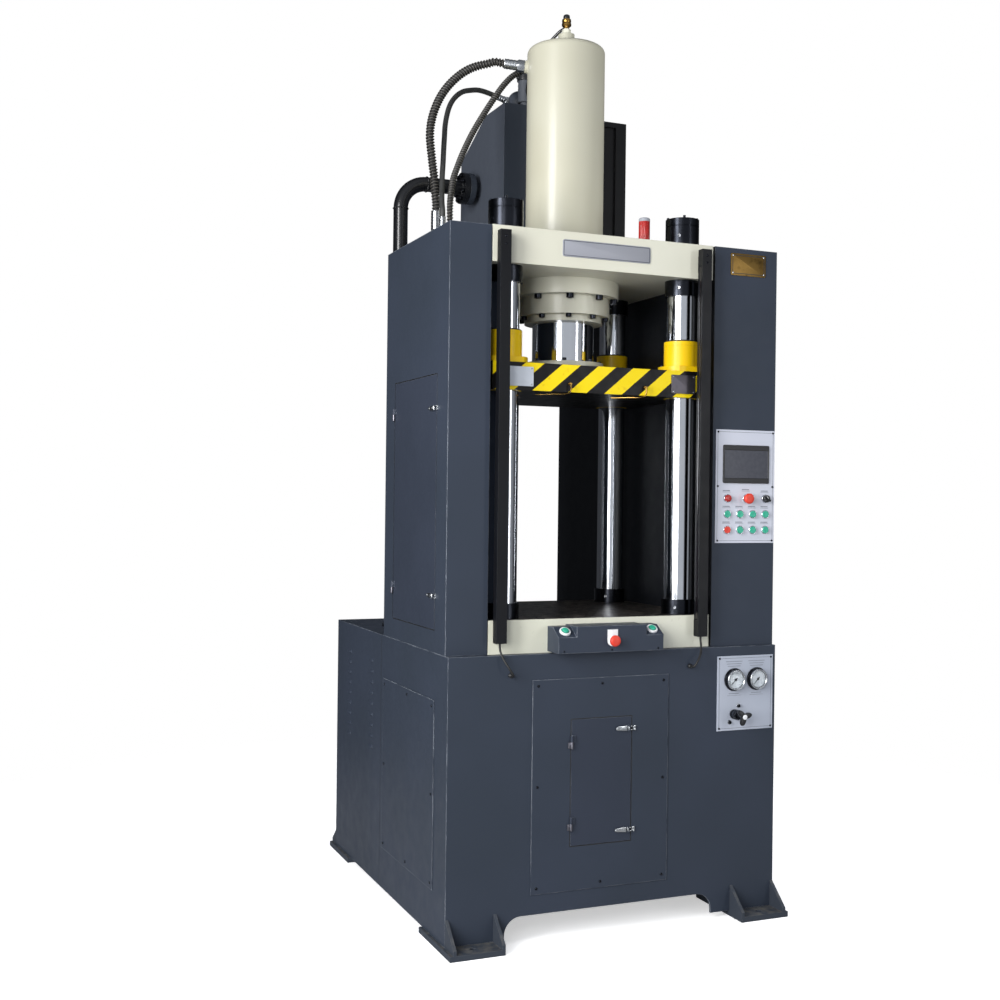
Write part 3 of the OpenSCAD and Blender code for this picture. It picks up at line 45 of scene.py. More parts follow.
# Places taken from the CAD, in mm from the middle of the base's front plane on the floor
HALF_W = 673.0
AXIS = np.array([-60.0, 400.0])
COLUMNS = [AXIS + (sx * 367.0, sy * 283.0) for sx in (-1, 1) for sy in (-1, 1)]
BARREL_BOTTOM, GLAND_BOTTOM, CROWN_TOP = 2356.0, 2284.0, 2545.0
SLIDE_TOP, SLIDE_BOTTOM, SLIDE_FRONT = 2066.0, 1966.0, 45.0
COVER_FRONT = -3.0  # the covers and the gauge panel stand 3 mm out from the base
FRONT_COVER = (-351.5, 201.5), (168.0, 933.0)  # each panel's two side edges, then its lower and upper edge
SIDE_COVER = (-731.0, -131.0), (182.0, 857.0)
OPERATOR_PANEL = (407.5, 671.5), (1418.0, 1850.0)
GAUGE_PANEL = (413.0, 661.0), (706.0, 989.0)
BRASS_PLATE = (463.8, 619.8), (2440.0, 2524.0)
PANEL_FRONT, CROWN_PLATE_Z = 17.0, 2485.0
PANEL_X, PANEL_Z = sum(OPERATOR_PANEL[0]) / 2, OPERATOR_PANEL[1][0]
GAUGE_X, GAUGE_PANEL_Z = (sum(edges) / 2 for edges in GAUGE_PANEL)
BRASS_X, BRASS_Z = (sum(edges) / 2 for edges in BRASS_PLATE)
SCREEN_X, SCREEN_Z, BUTTON_MID = 541.0, 1719.0, 543.5
BUTTON_X = [BUTTON_MID + (i - 1.5) * 57 for i in range(4)]
BUTTON_Z = [PANEL_Z + 50 + i * 60 for i in range(3)]
ESTOP_PLACE = (BUTTON_MID, PANEL_FRONT, BUTTON_Z[2])
GAUGE_Z, GAUGE_REACH = 899.0, 50.0  # the gauges' height, and their distance from the panel's middle line
VALVE = (487.0, COVER_FRONT, 768.0)
BOX_X, BOX_Z, BOX_FRONT = -70.0, 1031.0, -65.0
SLOPE_FOOT, SLOPE_RISE, SLOPE_RUN = 57.0, 33.25, 50.35  # slanted face of the two-hand box
PALM_REACH = 176.0
LABEL_REACH, LABEL_W, LABEL_H, LABEL_LIFT = 335.0, 102.0, 70.0, 49.0
POSTS = ((-420, -1), (398, 1))  # each post's distance from the press's axis and its side
HOSE_SEAT = 2480.0  # foot of the hoses' nuts on the left cabinet
PORT_FACE = 161.0  # the hose nuts end about this far from the cylinder's axis
TANK_X, TANK_TOP = -163.0, 3228.0
RISER_FLANGE_X = TANK_X - 78  # face of the riser's flange on the tank
RISER = np.array([-513.0, 1078.0, 2928.0])
DOOR = dict(x0=-197.0, w=244.0, z0=329.0, h=455.0)
LEFT_DOOR = dict(y1=625.0, w=480.0, z0=1107.0, h=911.0)


# Geometry: each shape is (points in mm, faces), and shapes are joined into one mesh

def unit(v):
    """v over its length."""
    v = np.asarray(v, float)
    return v / np.linalg.norm(v)


def basis(axis):
    """Two unit vectors e1, e2 with e1 x e2 = axis."""
    a = unit(axis)
    e1 = unit(np.cross(Z if abs(a[2]) < 0.9 else X, a))
    return e1, np.cross(a, e1)


def grid(points, wrap=False, caps=(False, False)):
    """Quads over a grid of points S[i, j]; wrap joins the last j to the first, caps close the end rows."""
    pts = np.asarray(points, float)
    rows, cols = pts.shape[:2]
    i = np.arange(rows - 1)[:, None]
    j = np.arange(cols if wrap else cols - 1)[None, :]
    k = (j + 1) % cols
    quads = np.stack([i * cols + j, i * cols + k, (i + 1) * cols + k, (i + 1) * cols + j], -1)
    faces = quads.reshape(-1, 4).tolist()
    if caps[0]:
        faces.append(list(range(cols))[::-1])
    if caps[1]:
        faces.append([(rows - 1) * cols + c for c in range(cols)])
    return pts.reshape(-1, 3), faces


def lathe(profile, origin, axis, n=40, turn=0.0):
    """Turned shape S(t, u) = o + h(t) a + r(t, u) (cos u e1 + sin u e2); a row's r may vary with u."""
    e1, e2 = basis(axis)
    u = np.linspace(0, TAU, n, endpoint=False) + turn
    ring = np.cos(u)[:, None] * e1 + np.sin(u)[:, None] * e2
    rows = [np.asarray(origin, float) + h * unit(axis) + np.broadcast_to(r, (n,))[:, None] * ring
            for r, h in profile]
    return grid(rows, wrap=True, caps=(True, True))


def band(profile, origin, axis, n=40):
    """Turned ring whose section is a closed loop: S(t, u) = o + h(t) a + r(t) (cos u e1 + sin u e2)."""
    e1, e2 = basis(axis)
    u = np.linspace(0, TAU, n, endpoint=False)
    ring = np.cos(u)[:, None] * e1 + np.sin(u)[:, None] * e2
    rows = [np.asarray(origin, float) + h * unit(axis) + r * ring for r, h in list(profile) + [profile[0]]]
    return grid(rows, wrap=True)


def hexagon(across, n=36):
    """Radius of a hexagon of the given flat-to-flat width: r(u) = (w / 2) / cos((u mod 60) - 30)."""
    u = np.linspace(0, TAU, n, endpoint=False)
    return across / 2 / np.cos((u % (TAU / 6)) - TAU / 12)


def rounded(points, radii, steps=4, closed=False):
    """Polyline with each corner replaced by an arc of its radius, tangent to both sides."""
    pts = [np.asarray(p, float) for p in points]
    count = len(pts)
    radii = [radii] * count if np.isscalar(radii) else radii
    out = []
    for i, p in enumerate(pts):
        if radii[i] <= 0 or (not closed and i in (0, count - 1)):
            out.append(p)
            continue
        a, b = pts[i - 1] - p, pts[(i + 1) % count] - p
        la, lb = np.linalg.norm(a), np.linalg.norm(b)
        a, b = a / la, b / lb
        half = math.acos(max(-1.0, min(1.0, float(a @ b)))) / 2
        if half > 1.55:  # nearly straight, so no arc is needed
            out.append(p)
            continue
        reach = min(radii[i] / math.tan(half), 0.49 * la, 0.49 * lb)
        centre = p + unit(a + b) * reach / math.cos(half)
        va, vb = p + a * reach - centre, p + b * reach - centre
        sweep = math.pi - 2 * half
        s = np.linspace(0, 1, steps + 1)[:, None]
        out.extend(centre + (np.sin((1 - s) * sweep) * va + np.sin(s * sweep) * vb) / math.sin(sweep))
    return np.array(out)


def rect(w, h, r, steps=4):
    """Outline of a rectangle about the origin with rounded corners."""
    return rounded([(-w / 2, -h / 2), (w / 2, -h / 2), (w / 2, h / 2), (-w / 2, h / 2)], r, steps, True)


def inset(outline, d):
    """Outline moved inwards by d along the mean of its neighbouring edge normals."""
    o = np.asarray(outline, float)
    tangent = np.roll(o, -1, 0) - np.roll(o, 1, 0)
    tangent /= np.linalg.norm(tangent, axis=1)[:, None]
    return o - d * np.stack([tangent[:, 1], -tangent[:, 0]], 1)


def slab(outline, origin, ex, ey, depth, edge=0.6):
    """Plate S(i, j) = o + x_j ex + y_j ey + d_i (ex x ey), its front rim rounded off by edge."""
    normal = np.cross(ex, ey)
    rows = []
    for d, e in ((0.0, 0.0), (depth - edge, 0.0), (depth - 0.3 * edge, 0.3 * edge), (depth, edge)):
        o = inset(outline, e) if e else np.asarray(outline, float)
        rows.append(np.asarray(origin, float) + o[:, :1] * ex + o[:, 1:] * ey + d * normal)
    return grid(rows, wrap=True, caps=(True, True))


def smooth_path(points, step):
    """Cubic curve through the points with chord-length tangents, resampled every step mm."""
    p = np.asarray(points, float)
    t = np.concatenate([[0], np.cumsum(np.linalg.norm(np.diff(p, axis=0), axis=1))])
    m = np.gradient(p, t, axis=0)
    fine = []
    for i in range(len(p) - 1):
        h = t[i + 1] - t[i]
        s = np.linspace(0, 1, 24, endpoint=False)[:, None]
        fine.append((2 * s**3 - 3 * s**2 + 1) * p[i] + (s**3 - 2 * s**2 + s) * h * m[i]
                    + (3 * s**2 - 2 * s**3) * p[i + 1] + (s**3 - s**2) * h * m[i + 1])
    fine = np.concatenate(fine + [p[-1:]])
    d = np.concatenate([[0], np.cumsum(np.linalg.norm(np.diff(fine, axis=0), axis=1))])
    at = np.linspace(0, d[-1], max(2, int(round(d[-1] / step)) + 1))
    return np.stack([np.interp(at, d, fine[:, k]) for k in range(3)], 1)


def tube(path, radius, n=16, caps=(True, True)):
    """Pipe S(s, u) = P(s) + r(s, u) (cos u N(s) + sin u B(s)); N is carried along without twist."""
    p = np.asarray(path, float)
    tangent = np.gradient(p, axis=0)
    tangent /= np.linalg.norm(tangent, axis=1)[:, None]
    s = np.concatenate([[0], np.cumsum(np.linalg.norm(np.diff(p, axis=0), axis=1))])
    u = np.linspace(0, TAU, n, endpoint=False)
    normal = basis(tangent[0])[0]
    rows = []
    for i in range(len(p)):
        normal = unit(normal - tangent[i] * (normal @ tangent[i]))
        side = np.cross(tangent[i], normal)
        r = radius(s[i], u) if callable(radius) else np.full(n, float(radius))
        rows.append(p[i] + r[:, None] * (np.cos(u)[:, None] * normal + np.sin(u)[:, None] * side))
    return grid(rows, wrap=True, caps=caps)


def circle_path(centre, axis, r, n=72):
    """Closed ring of points P(u) = c + r (cos u e1 + sin u e2)."""
    e1, e2 = basis(axis)
    u = np.linspace(0, TAU, n)
    return np.asarray(centre, float) + r * (np.cos(u)[:, None] * e1 + np.sin(u)[:, None] * e2)


def build(name, shapes, look, body, replaces=(), crease=35, second=None):
    """One mesh from the joined shapes, moved into the frame, in metres, riding on a body; look is a key of
    LOOKS, and second gives another look and a mask of the faces that take it."""
    points, faces, start = [], [], 0
    for verts, quads in shapes:
        points.append(verts)
        faces += [[v + start for v in f] for f in quads]
        start += len(verts)
    world = (np.concatenate(points) - np.array([0, FRAME_Y, 0])) * MM
    mesh = bpy.data.meshes.new(name)
    mesh.from_pydata(world.tolist(), [], faces)
    mesh.polygons.foreach_set("use_smooth", np.ones(len(mesh.polygons), bool))
    mesh.set_sharp_from_angle(angle=math.radians(crease))
    mesh.materials.append(LOOKS[look])
    if second:
        mesh.materials.append(LOOKS[second[0]])
        mesh.polygons.foreach_set("material_index", np.asarray(second[1], np.int32))
    mesh.update()
    piece = bpy.data.objects.new(name, mesh)
    bpy.context.scene.collection.objects.link(piece)
    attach(piece, body)
    for node in replaces:
        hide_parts(node)
    return piece


# Materials: colours are sRGB hex values, and a pattern's scale is 1000 over the size of its features in mm

def linear(colour):
    """sRGB hex colour as linear RGBA."""
    c = [int(colour[i:i + 2], 16) / 255 for i in (1, 3, 5)]
    return [v / 12.92 if v <= 0.04045 else ((v + 0.055) / 1.055) ** 2.4 for v in c] + [1.0]


def add(tree, kind, inputs=None, out=None, **settings):
    """New node, or its output out; an input that is a socket is linked, any other is set on its socket."""
    made = tree.nodes.new("ShaderNode" + kind)
    for key, value in settings.items():
        setattr(made, key, value)
    for key, value in (inputs or {}).items():
        if isinstance(value, bpy.types.NodeSocket):
            tree.links.new(value, made.inputs[key])
        else:
            made.inputs[key].default_value = value
    return made if out is None else made.outputs[out]


def begin(name):
    """Empty material, its tree and its object coordinates."""
    mat = bpy.data.materials.new(name)
    mat.use_nodes = True
    mat.node_tree.nodes.clear()
    return mat, mat.node_tree, add(mat.node_tree, "TexCoord", out="Object")


def finish(mat, inputs):
    """Principled shader with these inputs, put on the material's output."""
    surface = add(mat.node_tree, "BsdfPrincipled", inputs, 0)
    add(mat.node_tree, "OutputMaterial", {"Surface": surface})
    return mat


def mottle(tree, coord, size, detail, low=0.3, high=0.7, to_low=0.0, to_high=1.0, stretch=None):
    """Cloudy pattern with features of about size mm: noise from low to high becomes to_low to to_high, and
    stretch squeezes it along the axes."""
    if stretch:
        coord = add(tree, "Mapping", {"Vector": coord, "Scale": stretch}, 0)
    noise = add(tree, "TexNoise", {"Vector": coord, "Scale": 1000 / size, "Detail": detail}, 0)
    return add(tree, "MapRange", {0: noise, 1: low, 2: high, 3: to_low, 4: to_high}, 0)


def layers(tree, base, coats):
    """Colours laid over base: tone = (1 - m) tone + m c for each mask m and colour c, in hex or a socket."""
    tone = linear(base) if isinstance(base, str) else base
    for mask, colour in coats:
        over = linear(colour) if isinstance(colour, str) else colour
        tone = add(tree, "Mix", {0: mask, 6: tone, 7: over}, 2, data_type="RGBA")
    return tone


def edge_mask(tree, radius):
    """About 1 on rounded edges and 0 on flat faces, from a rounded normal against the true one; it carries
    edge wear and the painted edge highlight.
    """
    soft = add(tree, "Bevel", {"Radius": radius * MM}, 0, samples=4)
    true = add(tree, "NewGeometry", out="True Normal")
    dot = add(tree, "VectorMath", {0: soft, 1: true}, "Value", operation="DOT_PRODUCT")
    return add(tree, "MapRange", {0: dot, 1: 0.97, 2: 0.72}, 0)


def facing(tree, axis, amount=1.0):
    """Mask of the faces whose normal points along axis: n . a from 0.6 to 0.9 becomes 0 to amount."""
    normal = add(tree, "NewGeometry", out="True Normal")
    dot = add(tree, "VectorMath", {0: normal, 1: axis}, "Value", operation="DOT_PRODUCT")
    return add(tree, "MapRange", {0: dot, 1: 0.6, 2: 0.9, 4: amount}, 0)


def relief(tree, coord, size, detail, strength, distance, bevel=0.0, stretch=None):
    """Normal of a fine grain of about size mm over slightly rounded edges."""
    inputs = {"Height": mottle(tree, coord, size, detail, 0, 1, stretch=stretch), "Strength": strength,
              "Distance": distance * MM}
    if bevel:
        inputs["Normal"] = add(tree, "Bevel", {"Radius": bevel * MM}, 0, samples=4)
    return add(tree, "Bump", inputs, 0)


def paint(name, colour, drift, rough, peel=1.4, depth=0.05, bevel=1.5, edge_wear_and_highlight=None, dust=None, coat=0.0,
          gloss=0.5, dark_from=None, inner=None, edge=(2.2, 0.55)):
    """Sprayed paint: slow tone drift, fine orange peel, an edge colour that is worn paint on most looks and a
    painted highlight on the pale slate ones, dust on faces that look up, black past dark_from along X, and
    another colour on the faces that look to -X, which is painted shade where darker and painted light where
    lighter."""
    mat, tree, coord = begin(name)
    coats = [(mottle(tree, coord, 420, 2), drift)]
    # Edge colour: worn paint on most looks, a painted highlight along the bends on the pale slate looks
    if edge_wear_and_highlight:
        edge_patchiness = mottle(tree, coord, 55, 4, 0.3, 0.6, 0.0, edge[1])
        worn = add(tree, "Math", {0: edge_mask(tree, edge[0]), 1: edge_patchiness}, 0, operation="MULTIPLY")
        coats.append((worn, edge_wear_and_highlight))
    if dust:
        settled = mottle(tree, coord, 28, 5, 0.38, 0.72, 0.0, 0.6)
        lying = add(tree, "Math", {0: facing(tree, (0, 0, 1)), 1: settled}, 0, operation="MULTIPLY")
        coats.append((lying, dust))
    # Painted light and shade on the faces that look to -X: darker on the right cabinet's inner wall as
    # painted shade, lighter on the tank's left face as painted light
    if inner:
        coats.append((facing(tree, (-1, 0, 0)), inner))
    if dark_from is not None:
        across = add(tree, "SeparateXYZ", {0: coord}, 0)
        past = add(tree, "MapRange", {0: across, 1: (dark_from - 0.2) * MM, 2: (dark_from + 0.2) * MM}, 0)
        coats.append((past, "#0D0D0F"))
    return finish(mat, {
        "Base Color": layers(tree, colour, coats), "Specular IOR Level": gloss,
        "Roughness": mottle(tree, coord, 55, 4, 0.25, 0.75, rough - 0.05, rough + 0.07),
        "Coat Weight": coat, "Coat Roughness": 0.12,
        "Normal": relief(tree, coord, peel, 1, depth, 0.4, bevel)})


def metal(name, colour, drift, rough, brush=None, size=0.8, depth=0.04, bevel=0.6, stain=None):
    """Bare metal: tone drift, a brushed or turned grain stretched along brush, and stains."""
    mat, tree, coord = begin(name)
    coats = [(mottle(tree, coord, 160, 3), drift)]
    if stain:
        coats.append((mottle(tree, coord, 36, 5, 0.56, 0.74, 0.0, 0.7), stain))
    return finish(mat, {
        "Base Color": layers(tree, colour, coats), "Metallic": 1.0,
        "Roughness": mottle(tree, coord, size, 2, 0.25, 0.75, rough * 0.75, rough * 1.3, brush),
        "Normal": relief(tree, coord, size, 2, depth, 0.1, bevel, brush)})


def plastic(name, colour, drift, rough, size=0.7, depth=0.05, glow=0.0, clear=0.0):
    """Moulded plastic: faint flow marks, a fine mould grain, light through it where it is clear, and an
    emission of its own colour set by glow, a painted glow where the part is no lamp.
    """
    mat, tree, coord = begin(name)
    return finish(mat, {
        "Base Color": layers(tree, colour, [(mottle(tree, coord, 14, 2), drift)]),
        "Roughness": mottle(tree, coord, 5, 3, 0.3, 0.7, rough - 0.04, rough + 0.06),
        "Subsurface Weight": clear, "Subsurface Radius": (0.004, 0.004, 0.004),
        "Emission Color": linear(colour), "Emission Strength": glow,
        "Normal": relief(tree, coord, size, 1, depth, 0.1)})


def gauge_glass():
    """Clear pane with a slight tint and faint smears."""
    mat, tree, coord = begin("gauge_glass")
    return finish(mat, {"Base Color": linear("#F4F7F8"), "Transmission Weight": 1.0, "IOR": 1.12,
                        "Roughness": mottle(tree, coord, 12, 3, 0.4, 0.8, 0.03, 0.09)})


def hazard_paint():
    """Black slide with slanted yellow stripes on its front: s = (x + x0 - lean (z - z0)) / pitch, in m."""
    mat, tree, coord = begin("hazard_striped_paint")
    pitch, lean, x0 = 0.1445, 1.2, 0.347
    slant, shift = (1 / pitch, 0, -lean / pitch), (x0 + lean * SLIDE_BOTTOM * MM) / pitch + 8
    turn = add(tree, "VectorMath", {0: coord, 1: slant}, "Value", operation="DOT_PRODUCT")
    ragged = mottle(tree, coord, 9, 2, 0, 1, -0.006, 0.006)
    for operation, amount in (("ADD", shift), ("FRACT", 0.0), ("ADD", ragged), ("SUBTRACT", 0.255),
                              ("ABSOLUTE", 0.0)):
        turn = add(tree, "Math", {0: turn, 1: amount}, 0, operation=operation)
    stripe = add(tree, "MapRange", {0: turn, 1: 0.258, 2: 0.252}, 0)
    front = add(tree, "Math", {0: stripe, 1: facing(tree, (0, -1, 0))}, 0, operation="MULTIPLY")
    gold = layers(tree, "#F4D70E", [(mottle(tree, coord, 18, 5, 0.62, 0.74), "#E6C310")])
    return finish(mat, {
        "Base Color": layers(tree, "#0B0A0B", [(mottle(tree, coord, 120, 3), "#141314"), (front, gold)]),
        "Specular IOR Level": 0.2, "Roughness": mottle(tree, coord, 40, 4, 0.3, 0.7, 0.3, 0.46),
        "Normal": relief(tree, coord, 1.6, 1, 0.05, 0.4, 1.5)})


def bed_paint():
    """Cream plate whose machined top is dark with oil, worn bright in patches."""
    mat, tree, coord = begin("cream_paint_oily_top")
    worn = mottle(tree, coord, 46, 6, 0.48, 0.70, stretch=(1, 2.2, 1))
    oily = layers(tree, "#231F1D", [(worn, "#857C74")])
    coats = [(mottle(tree, coord, 300, 2), "#D6D6C4"), (facing(tree, (0, 0, 1)), oily)]
    return finish(mat, {
        "Base Color": layers(tree, "#E0E0D0", coats), "Metallic": facing(tree, (0, 0, 1), 0.35),
        "Roughness": mottle(tree, coord, 24, 4, 0.3, 0.7, 0.26, 0.42),
        "Normal": relief(tree, coord, 1.6, 1, 0.05, 0.4, 2.0)})


def dial_enamel():
    """White gauge face with a faint cloudy tone."""
    mat, tree, coord = begin("white_dial_enamel")
    return finish(mat, {"Base Color": layers(tree, "#EEEFF2", [(mottle(tree, coord, 20, 2), "#E2E4E9")]),
                        "Roughness": mottle(tree, coord, 2, 2, 0.3, 0.7, 0.35, 0.5)})


# Grains too fine for the picture, such as orange peel and mould grain, are drawn coarser, at 0.7 to 3 mm
LOOKS = {
    # Sprayed enamel on folded sheet: an even blue-grey sheen, with a pale painted highlight along the bends
    "slate": paint("slate_paint", "#363D4A", "#323944", 0.44, bevel=4.0, edge_wear_and_highlight="#B0B6BF", gloss=0.2,
                   edge=(4.4, 0.9)),
    # The right cabinet's faces that look to -X are darkened as painted shade
    "inner": paint("slate_shaded_paint", "#363D4A", "#323944", 0.44, bevel=3.5, edge_wear_and_highlight="#9AA0A9", gloss=0.2,
                   inner="#15171B", edge=(3.0, 0.5)),
    # The tank's faces that look to -X are lightened as painted light
    "tank": paint("slate_tank_paint", "#2E333B", "#2A2F37", 0.40, bevel=3.0, edge_wear_and_highlight="#6A717C", gloss=0.25,
                  dark_from=300.5, inner="#474C55"),
    "slate_door": paint("slate_door_paint", "#353B48", "#313743", 0.44, bevel=2.5, edge_wear_and_highlight="#8F959F", gloss=0.2,
                        edge=(2.8, 0.7)),
    "slate_foot": paint("slate_foot_paint", "#363C46", "#3D424A", 0.55, bevel=2.0, edge_wear_and_highlight="#686661",
                        dust="#77736A", gloss=0.18),
    # Thicker enamel on cast and plate steel: a wet-looking coat with broad highlights
    "cream": paint("cream_paint", "#DEDDCC", "#D6D4C2", 0.34, peel=2.2, depth=0.05, bevel=2.0, coat=0.15),
    "barrel": paint("cream_barrel_paint", "#C2C0AE", "#BAB7A3", 0.34, peel=3.0, depth=0.05, bevel=3.0,
                    coat=0.2),
    "black": paint("black_paint", "#0B0C0F", "#121317", 0.36, bevel=1.6, edge_wear_and_highlight="#3A3C40", gloss=0.2),
    "pipe": paint("black_pipe_paint", "#0B0C0E", "#121316", 0.24, bevel=1.0, coat=0.3, gloss=0.4),
    "yellow": paint("yellow_paint", "#F4CC08", "#EBC008", 0.38, bevel=1.2, edge_wear_and_highlight="#B98F10", coat=0.1,
                    gloss=0.3),
    "cast": paint("grey_cast_paint", "#565A61", "#4C5057", 0.5, bevel=1.0, edge_wear_and_highlight="#7C8088", gloss=0.3),
    # Lacquer on thin plates: a flat silver tone with soft sheen
    "plate": paint("silver_plate_lacquer", "#A2A4AB", "#989AA2", 0.45, peel=0.8, depth=0.04, bevel=0.5,
                   gloss=0.3),
    "label": paint("silver_label_lacquer", "#CFD5DE", "#C6CCD6", 0.42, peel=0.8, depth=0.04, bevel=0.5),
    "panel": paint("silver_panel_lacquer", "#D2D5E0", "#C9CDDA", 0.40, peel=0.8, depth=0.04, bevel=0.5),
    "grey_panel": paint("grey_panel_lacquer", "#B7BDCA", "#ABB2C0", 0.40, peel=0.8, depth=0.04, bevel=0.5),
    # Ground chrome mirrors the room in long streaks; oxide is a dark oily sheen; zinc is bright and soft
    "chrome": metal("hard_chrome", "#DADCE0", "#CFD2D8", 0.09, (1, 1, 18), 0.9, 0.015, 0.8),
    "oxide": metal("black_oxide_steel", "#303238", "#24262B", 0.24, None, 1.2, 0.04, 1.6),
    "steel": metal("zinc_plated_steel", "#C6C9CC", "#B4B7BB", 0.24, None, 1.0, 0.04, 0.6),
    "hinge": metal("dull_zinc_hinge", "#83828A", "#6E6D75", 0.42, None, 1.0, 0.05, 0.6),
    "black_chrome": metal("black_chrome", "#34363B", "#26282C", 0.16, None, 1.2, 0.02, 0.4),
    # Etched and turned plates and fittings: brushed lines and brown stains
    "old_label": metal("tarnished_steel_label", "#77737A", "#656168", 0.48, (10, 1, 1), 0.7, 0.06, 0.4,
                       "#4A474C"),
    "brass": metal("worn_brass", "#8A6E3C", "#6C532B", 0.44, (10, 1, 1), 0.8, 0.06, 0.4, "#43341C"),
    "bright_brass": metal("turned_brass", "#B8924E", "#9C7A3C", 0.25, None, 0.9, 0.04, 0.3, "#4A3A22"),
    # Moulded caps, lenses and prints: clean colour under a soft gloss, a little light inside the clear ones;
    # the green caps also carry a faint painted glow, and the lamp lens a faint glow of its own
    "red": plastic("red_plastic", "#E2432F", "#D43A28", 0.34, clear=0.1),
    "lamp": plastic("red_lens_plastic", "#B3201A", "#991812", 0.24, 2.0, 0.1, 0.02, 0.2),
    # Faint painted glow: the green caps emit light of their own colour though they are no lamps
    "green": plastic("green_plastic", "#33B393", "#2AA385", 0.30, clear=0.15, glow=0.03),
    "white": plastic("white_plastic", "#F2F3F4", "#E6E7E9", 0.36),
    "black_plastic": plastic("black_plastic", "#17181A", "#202124", 0.34),
    "dark_mark": plastic("dark_print", "#5A5E68", "#4E525C", 0.5),
    "faint_mark": plastic("grey_print", "#8B909B", "#80858F", 0.5),
    # Hose covers and seals: dull rubber; on the spiral guards the ridges are pale as a painted highlight
    # and the grooves black as painted shade
    "rubber": plastic("hose_rubber", "#54514C", "#42403B", 0.42, 1.5, 0.15),
    "hose_groove": plastic("hose_groove_painted_shade", "#0B0A0A", "#121110", 0.6, 1.5, 0.15),
    "braid": plastic("braided_hose_rubber", "#3A3B3A", "#2B2C2B", 0.58, 1.2, 0.25),
    "seal": plastic("seal_rubber", "#141414", "#1E1E1E", 0.55),
    # Screen and windows: dark, smooth and faintly grey
    "screen": plastic("screen_bezel_plastic", "#131316", "#19191C", 0.4),
    "display": plastic("screen_glass", "#44464F", "#3D3F48", 0.2, 30, 0.01),
    "window": plastic("dark_window_glass", "#0E0D10", "#191419", 0.08, 20, 0.01),
    # Finishes with a pattern or a pane of their own, told in their functions
    "hazard": hazard_paint(),
    "bed": bed_paint(),
    "dial": dial_enamel(),
    "glass": gauge_glass(),
}

CAD_LOOKS = {
    "slate": ["base_frame", "left_cabinet", "two_hand_box", "hydraulic_unit", "front_cover", "side_cover"],
    # right_cabinet takes painted shade on its inner wall, and oil_tank below takes painted light on its left
    # face
    "inner": ["right_cabinet"],
    "tank": ["oil_tank"],
    "slate_door": ["front_door", "left_door"],
    "slate_foot": ["feet"],
    "cream": ["crown", "mounting_flange", "gland_housing", "ram_flange"],
    "barrel": ["cylinder_barrel"],
    "bed": ["bed"],
    "chrome": ["columns", "ram"],
    "oxide": ["column_nuts"],
    "black": ["curtain_posts", "needle_left", "needle_right"],
    "pipe": ["riser_pipe"],
    "yellow": ["guide_sleeves"],
    "hazard": ["slide"],
    "panel": ["operator_panel"],
    "grey_panel": ["gauge_panel"],
    "steel": ["door_hardware"],
}
for look, nodes in CAD_LOOKS.items():
    for node_name in nodes:
        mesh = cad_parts[node_name].data
        mesh.materials.clear()
        mesh.materials.append(LOOKS[look])


# Camera and cords

def set_camera():
    """The photo's camera: 45.9 mm on a 36 mm frame, turned and rolled as measured."""
    yaw, pitch, roll = (math.radians(a) for a in (22.622, -0.127, 0.691))
    ahead = np.array([math.sin(yaw) * math.cos(pitch), math.cos(yaw) * math.cos(pitch), math.sin(pitch)])
    right = np.array([math.cos(yaw), -math.sin(yaw), 0])
    up = np.cross(right, ahead)
    r2 = math.cos(roll) * right + math.sin(roll) * up
    u2 = math.cos(roll) * up - math.sin(roll) * right
    data = bpy.data.cameras.new("camera")
    data.lens, data.sensor_width, data.sensor_fit = 45.894, 36.0, "HORIZONTAL"
    data.clip_end = 100
    cam = bpy.data.objects.new("camera", data)
    turn = Matrix(np.stack([r2, u2, -ahead], 1).tolist()).to_4x4()
    cam.matrix_world = Matrix.Translation((-2.2075, -4.1327 - FRAME_Y * MM, 1.582)) @ turn
    bpy.context.scene.collection.objects.link(cam)
    bpy.context.scene.camera = cam


set_camera()

ROUTES = {
    "pressure_hose": (34, [(-285, 489, 3283), (-322, 503, 3288), (-348, 508, 3279), (-381, 513, 3269),
        (-415, 514, 3254), (-450, 512, 3231), (-485, 509, 3200), (-514, 504, 3168), (-543, 497, 3127),
        (-566, 489, 3083), (-583, 482, 3038), (-593, 475, 2997), (-597, 470, 2957), (-596, 464, 2917),
        (-593, 459, 2879), (-590, 454, 2840), (-586, 449, 2802), (-584, 445, 2763), (-582, 441, 2724),
        (-580, 438, 2695), (-580, 438, 2665)]),
    "return_hose": (21, [(-190, 797, 3254), (-232, 786, 3260), (-285, 757, 3256), (-335, 717, 3238),
        (-386, 678, 3214), (-423, 647, 3185), (-453, 621, 3151), (-475, 597, 3115), (-492, 575, 3074),
        (-507, 551, 3027), (-517, 529, 2982), (-531, 498, 2914), (-541, 475, 2863), (-553, 449, 2805),
        (-568, 410, 2732), (-578, 380, 2684), (-580, 366, 2652), (-580, 366, 2630)]),
    "fill_hose": (25, [(-189, 555.3, 3285), (-225, 547, 3259), (-268, 530, 3215), (-310, 510, 3161),
        (-353, 489, 3101), (-397, 464, 3037), (-434, 440, 2981), (-471, 412, 2919), (-499, 388, 2869),
        (-524, 365, 2820), (-545, 345, 2776), (-561, 322, 2726), (-574, 300, 2677), (-579, 289, 2640),
        (-580, 285, 2610), (-580, 285, 2585)]),
    "curtain_cable_left": (8, [(-480, -1, 1068), (-480, -1, 1055), (-478, -8, 1034), (-471, -20, 1011),
        (-462, -29, 993), (-452, -34, 976), (-443, -33, 962), (-438, -29, 955), (-437, -23, 953),
        (-437, -12, 953)]),
    "curtain_cable_right": (8, [(338, -1, 1068), (338, -1, 1055), (336, -8, 1035), (329, -20, 1014),
        (319, -29, 997), (308, -34, 981), (299, -33, 967), (294, -29, 960), (292, -23, 958),
        (292, -12, 958)]),
}
